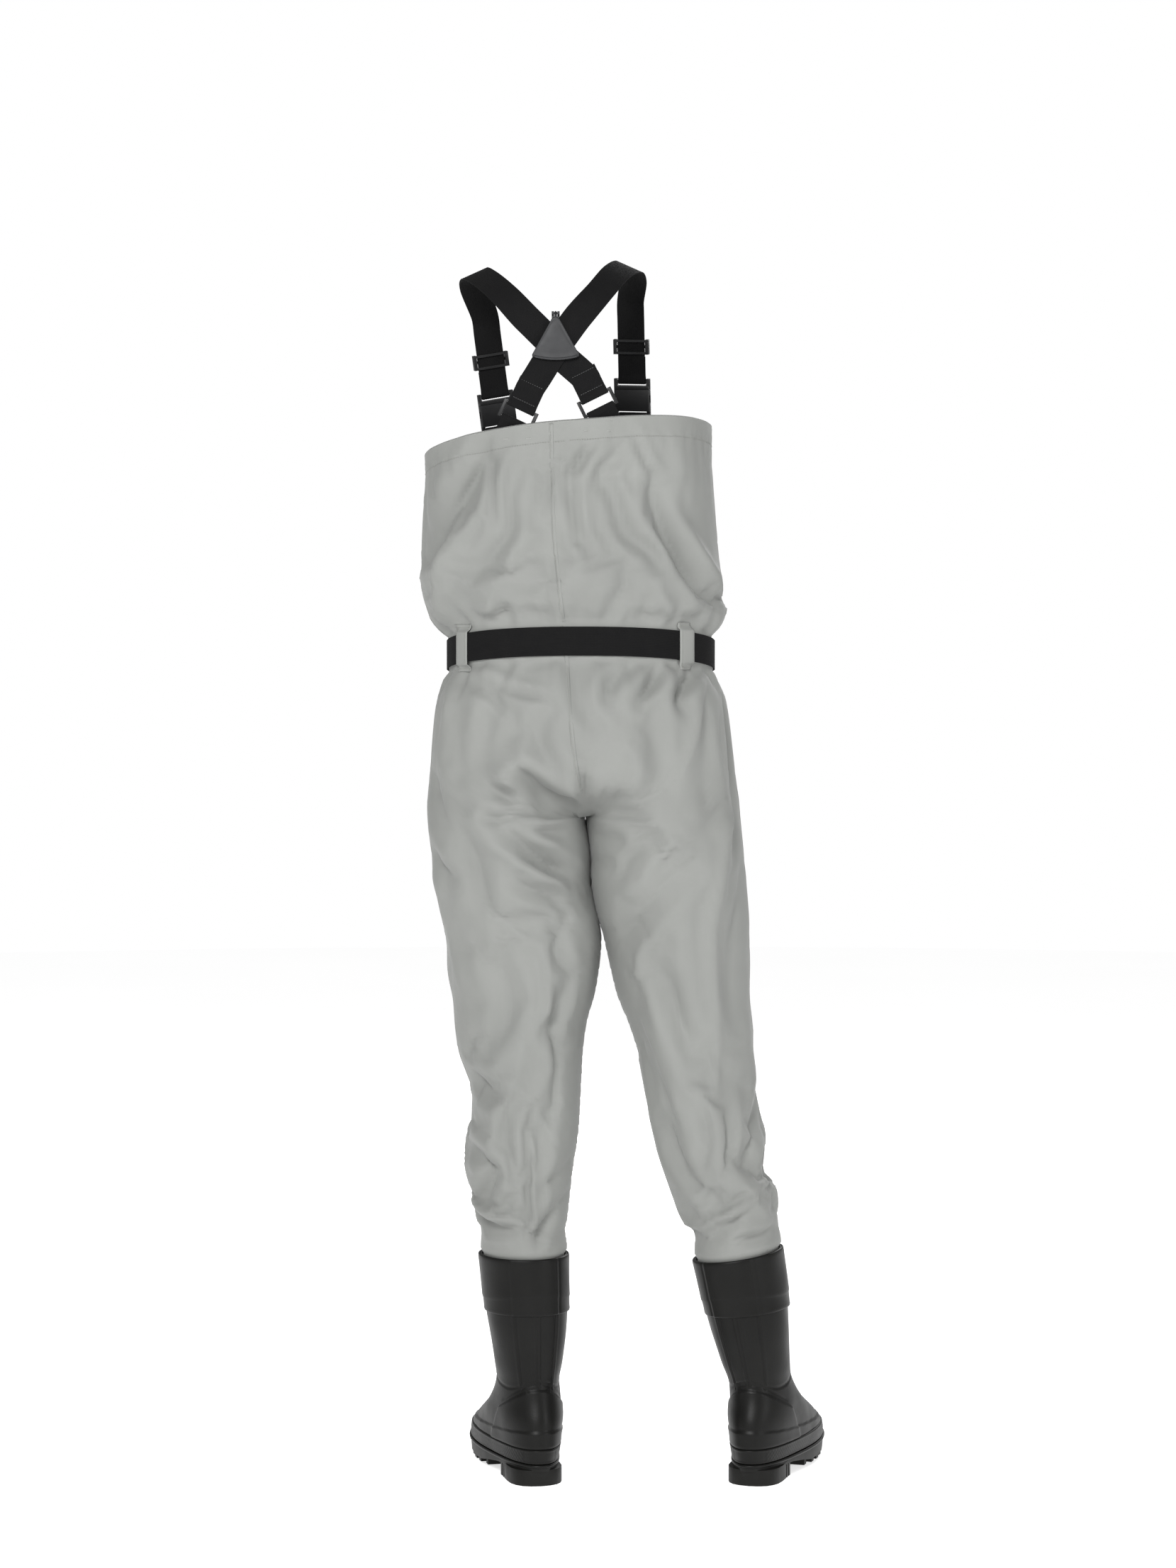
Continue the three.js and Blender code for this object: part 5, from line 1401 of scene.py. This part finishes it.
def keeper_outline(grow):
    """The keeper's rounded triangle in x and z, with a bowed lower edge."""
    w, top, low = 31 + grow, 29 + grow, -28 - grow
    bends = [
        ((-w + 1, low + 8), (-w - 1, low + 4.5), (-w + 4, low + 3)),
        ((-w + 4, low + 3), (0, low - 3), (w - 4, low + 3)),
        ((w - 4, low + 3), (w + 1, low + 4.5), (w - 1, low + 8)),
        ((w - 1, low + 8), ((w + 4.5) / 2, (low + top + 4) / 2), (5.5, top - 4)),
        ((5.5, top - 4), (0, top + 3.5), (-5.5, top - 4)),
        ((-5.5, top - 4), (-(w + 4.5) / 2, (low + top + 4) / 2), (-w + 1, low + 8)),
    ]
    line = []
    for a, b, c in bends:
        for t in np.linspace(0, 1, 10, endpoint=False):
            line.append([(1 - t) ** 2 * a[k] + 2 * t * (1 - t) * b[k] + t * t * c[k] for k in (0, 1)])
    return np.array(line)


def keeper_cover():
    rings = []
    for inset, y in COVER_STEPS:
        outline = keeper_outline(-inset)
        rings.append(KEEPER_PLACE(np.column_stack([outline[:, 0], np.full(len(outline), y), outline[:, 1]])))
    plate = loft(np.array(rings))
    low = keeper_outline(0)[6:24] * vec(0.93, 0.97)[None, :]
    line = KEEPER_PLACE(np.column_stack([low[:, 0], np.full(len(low), 6.1), low[:, 1]]))
    turn = np.linspace(0, 2 * math.pi, 10, endpoint=False)
    lip = sweep(spline(line, 40), np.tile(KEEPER_PLACE.axes[1], (40, 1)),
                np.stack([1.5 * np.cos(turn), 1.25 * np.sin(turn)], axis=1))
    neck = [(-1.8, 2.6, 24), (1.8, 2.6, 24), (1.8, 5.2, 24), (-1.8, 5.2, 24)]
    neck_top = [(-1.8, 1.0, 33), (1.8, 1.0, 33), (1.8, 3.2, 34.5), (-1.8, 3.2, 34.5)]
    stem = loft(np.array([KEEPER_PLACE(neck), KEEPER_PLACE(neck_top)]))
    knuckle = rounded_bar(KEEPER_PLACE, -1.9, 1.9, 0, 33.4, 2.9)
    shape = bare(merge([plate, lip, stem, knuckle]))
    make_piece("keeper_front", shape, "plastic", "keeper_cover", replaces=["keeper_cover"])


def hardware():
    rounded_copy("keeper_back_plate", "keeper_back", "plastic", 0.4)
    keeper_cover()
    for side, name in SIDES:
        rounded_copy(f"{name}_back_ring", f"{name}_ring", "buckle", 0.9)
        rounded_copy(f"{name}_adjuster", f"{name}_slide_adjuster", "buckle", 0.7)
        rounded_copy(f"{name}_buckle_socket", f"{name}_socket", "buckle")
        rounded_copy(f"{name}_buckle_plug", f"{name}_plug", "buckle")
        grips(name, front_place(side).moved(MOUTH), f"{name}_buckle_plug")
        tab_piece(f"{name}_ring_tab", f"{name}_back_tab", ring_place(side), -RING_BAR, 30)
        tab_piece(f"{name}_buckle_tab", f"{name}_front_tab", front_place(side).moved(MOUTH), SOCKET_BAR, 28)
        suspender(name)
    rounded_copy("belt_buckle_socket", "belt_socket", "buckle")
    rounded_copy("belt_buckle_plug", "belt_plug_part", "buckle")
    grips("belt", BELT_BUCKLE, "belt_plug")
    belt()


# ---- boots ----
def from_heel(t):
    """The turn round the boot from the middle of the heel, from -pi to pi."""
    return (np.asarray(t) + math.pi) % (2 * math.pi) - math.pi


def boot_relief(z, t):
    """Moulded lines and overlays of a boot: how far each place stands out, in mm."""
    turn = from_heel(t)
    arc = 50 * turn
    shaft = smooth((z - 122) / 8) * smooth((312 - z) / 8)
    relief = -0.8 * (bump(np.abs(arc) - 27, 1.5) - 0.4 * bump(np.abs(arc) - 30, 2.2)) * shaft
    relief += 0.8 * bump(np.abs(arc) - 2.6, 1.3) * smooth((z - 128) / 6) * smooth((232 - z) / 6)
    counter_top = 126 - 24 * (np.abs(turn) / 1.15) ** 2
    counter = smooth((counter_top - z) / 1.6) * smooth((1.3 - np.abs(turn)) / 0.05)
    relief += 1.1 * counter
    relief -= 0.5 * bump(z - counter_top - 7, 1.6) * smooth((1.25 - np.abs(turn)) / 0.1)
    forward = smooth((np.abs(turn) - 2.0) / 0.5)
    relief += forward * (-1.6 * bump(z - 152, 9) - 1.3 * bump(z - 129, 6) + 0.9 * bump(z - 140, 6))
    ankle = smooth((2.2 - np.abs(turn)) / 0.5)
    relief -= 0.7 * bump(z - (131 + 5 * np.cos(3 * turn)), 1.4) * ankle
    toe_cap = smooth((np.abs(turn) - 2.62 + (z - 50) * 0.004) / 0.035) * smooth((100 - z) / 6)
    relief += 1.0 * toe_cap
    vamp = smooth((64 + 9 * np.cos(turn) - z) / 1.8) * smooth((z - 20) / 5)
    relief = RELIEF_GAIN * (relief + 0.9 * vamp)
    # The heel swells out below a narrower ankle.
    relief += 3.2 * bump(z - 85, 19) * smooth((1.6 - np.abs(turn)) / 0.7)
    relief -= 2.2 * bump(z - 132, 16) * smooth((2.3 - np.abs(turn)) / 0.7)
    return relief * smooth((z - 47) / 4)


def boot_surface(side, heights, offset, relief=1.0, count=AROUND):
    t = np.linspace(0, 2 * math.pi, count, endpoint=False)
    rings = []
    for z in heights:
        grow = np.full(count, offset) + relief * boot_relief(z, t)
        rings.append(boot_point(side, z, t, grow))
    return np.array(rings)


def soften(rings, size, seed):
    """Slow unevenness of moulded rubber: each ring's points move out or in by up to a millimetre."""
    middle = rings.mean(axis=1, keepdims=True)
    out = unit((rings - middle) * vec(1, 1, 0))
    field = cloudy(rings.reshape(-1, 3), size, 1.6, seed).reshape(rings.shape[:2])
    return rings + out * field[..., None] * 0.9


def boot_shell(side, name):
    outer = soften(boot_surface(side, np.linspace(301.4, 28, 150), 0.0), 34.0, 5.0 + side)
    rim = [boot_surface(side, [302], -1.0, 0)[0], boot_surface(side, [302], -2.2, 0)[0]]
    inside = [301, 280, 250, 226, 200, 160, 135, 115, 98, 84, 71, 59, 48, 38]
    inner = boot_surface(side, inside, -BOOT_WALL, 0)
    rings = np.concatenate([outer[::-1], rim, inner])
    make_piece(f"{name}_boot", loft(rings), "rubber", replaces=[f"{name}_boot_shell"])


def boot_cuff(side, name):
    """The smooth band round the top, with the step of a layer beneath it showing through."""
    t = np.linspace(0, 2 * math.pi, AROUND, endpoint=False)
    arc = 50 * from_heel(t)
    rings = []
    for z, out in CUFF_STEPS:
        dip = 4 * np.cos(2 * from_heel(t)) if 240 < z < 256 else 0
        grow = out + 0.5 * bump(np.abs(arc) - 27, 1.6) - 0.45 * bump(np.abs(arc) - 31, 1.5)
        rings.append(boot_point(side, z + dip, t, PLAY * 0.5 + grow))
    inner = [boot_point(side, z, t, 0.25) for z in (226.2, 250, 276, 301.8)]
    rings = np.concatenate([soften(np.array(rings), 40.0, 9.0 + side), inner])
    shape = loft(np.swapaxes(rings, 0, 1), loop=True)
    make_piece(f"{name}_cuff_band", shape, "rubber", replaces=[f"{name}_boot_cuff"])


def foxing(side, name):
    """The strip round the foot above the sole, with a diamond knurl and a smooth plate at the heel."""
    count = 400
    t = np.linspace(0, 2 * math.pi, count, endpoint=False)
    ring = boot_point(side, 38, t)
    arc = lengths(np.vstack([ring, ring[:1]]))[:-1]
    knurled = smooth((np.abs(from_heel(t)) - 0.42) / 0.05)
    rings = []
    for z in np.concatenate([[29, 29.6], np.linspace(31, 47, 13), [48.2, 49]]):
        edge = smooth((z - 28.7) / 1.2) * smooth((49.3 - z) / 1.2)
        edge += 0.7 * bump(z - 47.2, 1.2) + 0.7 * bump(z - 30.8, 1.2)
        diamond = np.abs(((arc / KNURL_PITCH + z / KNURL_PITCH) % 1) - 0.5) + np.abs(
            ((arc / KNURL_PITCH - z / KNURL_PITCH) % 1) - 0.5)
        rib = smooth((z - 31) / 1.5) * smooth((46.5 - z) / 1.5)
        heel = 0.8 * smooth((1.3 - np.abs(from_heel(t))) / 0.5)
        rings.append(boot_point(side, z, t, 0.9 + heel + 1.5 * edge + 0.9 * diamond * knurled * rib))
    inner = [boot_point(side, z, t, 0.4) for z in (49, 38, 29)]
    shape = loft(np.swapaxes(np.array(rings + inner), 0, 1), loop=True)
    make_piece(f"{name}_foxing", shape, "rubber", replaces=[f"{name}_foxing_band"])


def welt(side, name):
    """A rounded ridge where the foxing meets the sole."""
    t = np.linspace(0, 2 * math.pi, AROUND, endpoint=False)
    rings = []
    for turn in np.linspace(0, 2 * math.pi, 10, endpoint=False):
        rings.append(boot_point(side, 26.6 + 2.2 * math.sin(turn), t, 3.6 + 2.0 * math.cos(turn)))
    make_piece(f"{name}_welt", loft(np.swapaxes(np.array(rings), 0, 1), loop=True), "rubber")


def boots():
    for side, name in SIDES:
        boot_shell(side, name)
        boot_cuff(side, name)
        foxing(side, name)
        welt(side, name)
        rounded_copy(f"{name}_outsole", f"{name}_sole", "sole", 0.9, sharp=40)


# ---- chest pocket ----
ZIP_PLACE = Place(
    vec(137.95, -120.56, 1290.03) - ORIGIN_SHIFT,
    (0.9869, 0.1615, -0.0052), (0.1616, -0.9863, 0.032), (0, 0.0324, 0.9995))


def pocket_off(x, z):
    """How far the pocket stands off the bib."""
    s = np.clip((x - POCKET[0]) / (POCKET[1] - POCKET[0]), 0, 1)
    rise = smooth((z - POCKET[2]) / 34)
    return 0.9 + BULGE * rise * smooth(s / 0.16) * smooth((1 - s) / 0.16)


def flap_off(x, z):
    s = np.clip((x - FLAP[0]) / (FLAP[1] - FLAP[0]), 0, 1)
    down = smooth((FLAP[3] - z) / 17)
    full = mix(2.6, BULGE + FABRIC + 3.6, down)
    return full - 7 * (1 - smooth(s / 0.14) * smooth((1 - s) / 0.14)) * down


def chest_sheet(box, columns, rows, wall, off, edge=0.5):
    """A sheet over the chest with softened edges. off(x, z) is how far its inner face stands off the bib."""
    x = np.linspace(box[0], box[1], columns)
    z = np.linspace(box[3], box[2], rows)
    gx, gz = np.meshgrid(x, z)
    inner = np.stack([gx, bib_depth(-1, gx, gz) - off(gx, gz), gz], axis=-1)
    outer = inner.copy()
    near = np.minimum.reduce([gx - box[0], box[1] - gx, gz - box[2], box[3] - gz])
    outer[..., 1] -= wall * mix(edge, 1, smooth(near / 2.5))
    return loft(np.concatenate([outer, inner[:, ::-1]], axis=1)), outer


def border_stitches(outer, inset_columns, inset_rows, pitch=3.2):
    """Rows of stitches round a chest sheet, inset from its edges."""
    c, r = inset_columns, inset_rows
    lines = [outer[r, c:-c], outer[-1 - r, c:-c], outer[r:-r, c], outer[r:-r, -1 - c]]
    runs = []
    for line in lines:
        normal = np.stack([bib_normal(-1, x, z) for x, _, z in line])
        runs.append(beads_along(line + normal * 0.1, normal, pitch))
    return runs


def pocket():
    def sag(x, z):
        low = smooth((1262 - z) / 50) * smooth((z - 1200) / 12)
        return pocket_off(x, z) + 1.5 * low * np.sin((x - 20) / 17.0) * np.sin((x + 76) / 192 * math.pi)

    shape, outer = chest_sheet(POCKET, 66, 50, FABRIC, sag)
    bag = make_piece("pocket_bag", shape, "fabric", replaces=["chest_pocket"])
    thread_piece("pocket_stitching", border_stitches(outer, 2, 2))
    shape, outer = chest_sheet(FLAP, 68, 26, 1.6, flap_off)
    flap = make_piece("pocket_flap_panel", shape, "fabric", "pocket_flap",
                      replaces=["chest_pocket_flap"])
    thread_piece("flap_stitching", border_stitches(outer, 2, 2), body="pocket_flap")
    binding = (FLAP[0], FLAP[1], FLAP[3] - 1, FLAP[3] + 9)
    shape, outer = chest_sheet(binding, 68, 8, 1.1, lambda x, z: 0.4 + 0 * x)
    make_piece("flap_binding", shape, "fabric")
    line = outer[4, 2:-2]
    normal = np.stack([bib_normal(-1, x, z) for x, _, z in line])
    thread_piece("binding_stitching", [beads_along(line, normal, 3.0)])


def fastener_tape(name, node, body, off, grain):
    """A strip of tape with an uneven pile. grain is how fast the pile changes along x and z."""
    shape, _ = chest_sheet(TAPE_BOX, 110, 28, 0.6, off)
    points = shape[0]
    points[:, 1] -= PILE * (0.5 + 0.5 * np.sin(points[:, 0] * grain) * np.sin(points[:, 2] * grain))
    make_piece(name, shape, "webbing", body, replaces=[node])


def fastener_tapes():
    """Hook tape inside the flap, and loop tape on the pocket below it."""
    def on_flap(x, z):
        return flap_off(x, z) - 0.9

    def on_pocket(x, z):
        return pocket_off(x, z) + FABRIC + 0.3

    fastener_tape("hook_strip", "flap_hook_tape", "pocket_flap", on_flap, 2.9)
    fastener_tape("loop_strip", "pocket_loop_tape", "waders", on_pocket, 2.1)


def zip_pieces():
    """The tape of the pouch's zip with its two rows of teeth, its slider and its pull."""
    rounded_copy("zip_tape", "zip_strip", "webbing", 0.3)
    teeth = []
    for k in range(int((ZIP_LENGTH - 6) / 1.9)):
        side = 0.55 if k % 2 else -0.55
        teeth.append(rounded_bar(ZIP_PLACE, -1.9 + side, 1.9 + side, 1.62, -3.4 - 1.9 * k, 0.62, 0.7))
    make_piece("zip_teeth", bare(merge(teeth)), "buckle")
    rounded_copy("zip_slider", "zip_slide", "steel", 0.35)
    rounded_copy("zip_pull", "zip_puller", "steel", 0.3)


# ---- seams, hem and knee patches ----
def normals_at(surface, line):
    return np.array([surface.nearest(p)[1] for p in line])


def sewn_seam(name, surface, line, stitch_offset=-3.1):
    """A felled seam: a flat ridge with one row of stitches along it."""
    make_piece(name, strip_on(surface, line, SEAM_PROFILE), "fabric")
    normal = normals_at(surface, line)
    across = unit(np.cross(normal, unit(np.gradient(line, axis=0))))
    row = line + across * stitch_offset + normal * 0.7
    thread_piece(f"{name}_stitching", [beads_along(row, normal, 3.4, 2.0, 0.34)])


def seams(g, surface):
    sewn_seam("centre_back_seam", surface, surface.line(BACK_SEAM, 1, 150))
    front = [g.points[i] for i in g.ids[1, -1][1:g.crotch_row - 8, -1]]
    sewn_seam("centre_front_seam", surface, np.array(front)[::-1])
    for side, name in SIDES:
        rows = np.flatnonzero((g.levels > 352) & (g.levels < 1399))
        line = g.points[g.ids[side, 1][rows, 0]]
        make_piece(f"{name}_outseam", strip_on(surface, line, OUTSEAM_PROFILE), "fabric")


def inner_tapes(g):
    """Sealing tape over the seams, inside."""
    normals = g.normals()

    def tape(name, rows_of_ids, node):
        ids = np.array(rows_of_ids)
        near = g.points[ids] - normals[ids] * (FABRIC + 0.12)
        far = g.points[ids] - normals[ids] * (FABRIC + 0.62)
        make_piece(name, loft(np.concatenate([near, far[:, ::-1]], axis=1)), "tape", replaces=[node])

    for side, name in SIDES:
        back, front = g.ids[side, 1], g.ids[side, -1]
        rows = np.flatnonzero((g.levels > 350) & (g.levels < 1370))
        outer = [[back[r, 2], back[r, 1], back[r, 0], front[r, 1], front[r, 2]] for r in rows]
        tape(f"{name}_outseam_film", outer, f"{name}_side_seam_tape")
        rows = np.flatnonzero((g.levels > 350) & (g.levels < CROTCH - 20))
        inner = [[back[r, -3], back[r, -2], back[r, -1], front[r, -2], front[r, -3]] for r in rows]
        tape(f"{name}_inseam_film", inner, f"{name}_inseam_tape")
    run = []
    for face, order in ((1, 1), (-1, -1)):
        rows = np.flatnonzero((g.levels > CROTCH + 6) & (g.levels < 1370))[::order]
        left, right = g.ids[1, face], g.ids[-1, face]
        run += [[left[r, -3], left[r, -2], left[r, -1], right[r, -2], right[r, -3]] for r in rows]
    tape("centre_seam_film", run, "centre_seam_tape")


def knee_patches(g):
    normals = g.normals()
    columns = np.arange(COLUMNS // 4, 3 * COLUMNS // 4 + 1)
    rise = np.full(len(columns), 1.5)
    rise[[0, -1]] = 0.7
    for side, name in SIDES:
        rows = np.flatnonzero((g.levels > 382) & (g.levels < 688))
        ids = g.ids[side, -1][np.ix_(rows, columns)]
        place, out = g.points[ids], normals[ids]
        outer = place + out * rise[None, :, None]
        outer[[0, -1]] -= out[[0, -1]] * 0.7
        inner = place + out * 0.15
        shape = loft(np.concatenate([outer, inner[:, ::-1]], axis=1))
        patch = make_piece(f"{name}_knee_panel", shape, "fabric", replaces=[f"{name}_knee_patch"])
        runs = []
        for k in (1, -2):
            runs.append(beads_along(outer[1:-1, k], out[1:-1, k], 3.4))
            runs.append(beads_along(outer[k, 1:-1], out[k, 1:-1], 3.4))
        thread_piece(f"{name}_knee_stitching", runs)


def hem_details(g, surface):
    """The hem's stitch line, and bar tacks where webbing is sewn in behind it."""
    row = int(np.argmin(np.abs(g.levels - HEM_LINE)))
    normals = g.normals()
    runs = []
    for ids in g.ids.values():
        line, out = g.points[ids[row]], normals[ids[row]]
        runs.append(beads_along(line + out * 0.35, out, 3.4, 2.1, 0.36))
    thread_piece("hem_stitching", runs)
    tacks = []
    for face, x, low in TACKED_TABS:
        for dx, dz in ((-15, 0), (-15, 14), (15, 0), (15, 14)):
            place, normal = surface.seen_from(x + dx, low + dz, face)
            if place is not None:
                level = unit(np.cross(normal, vec(0, 0, 1)))
                tacks.append(row_of_stitches(place + normal * 0.3, level, normal, 7, 1.3, 1.5, 0.4))
    thread_piece("hem_tacks", tacks, material="thread")


make_camera()
make_stage()
garment = Garment()
shape_garment(garment)
settle(garment)
fabric = garment_piece(garment)
cloth = Surface(garment)
hardware()
for loop_name, loop_angle in LOOPS.items():
    belt_loop(loop_name, loop_angle, cloth)
boots()
pocket()
fastener_tapes()
zip_pieces()
seams(garment, cloth)
inner_tapes(garment)
knee_patches(garment)
hem_details(garment, cloth)
for name, material in (("left_insole", "felt"), ("right_insole", "felt"), ("left_shank", "steel"),
                       ("right_shank", "steel"), ("keeper_hinge_pin", "steel")):
    nodes[name].data.materials.clear()
    nodes[name].data.materials.append(MAT[material])
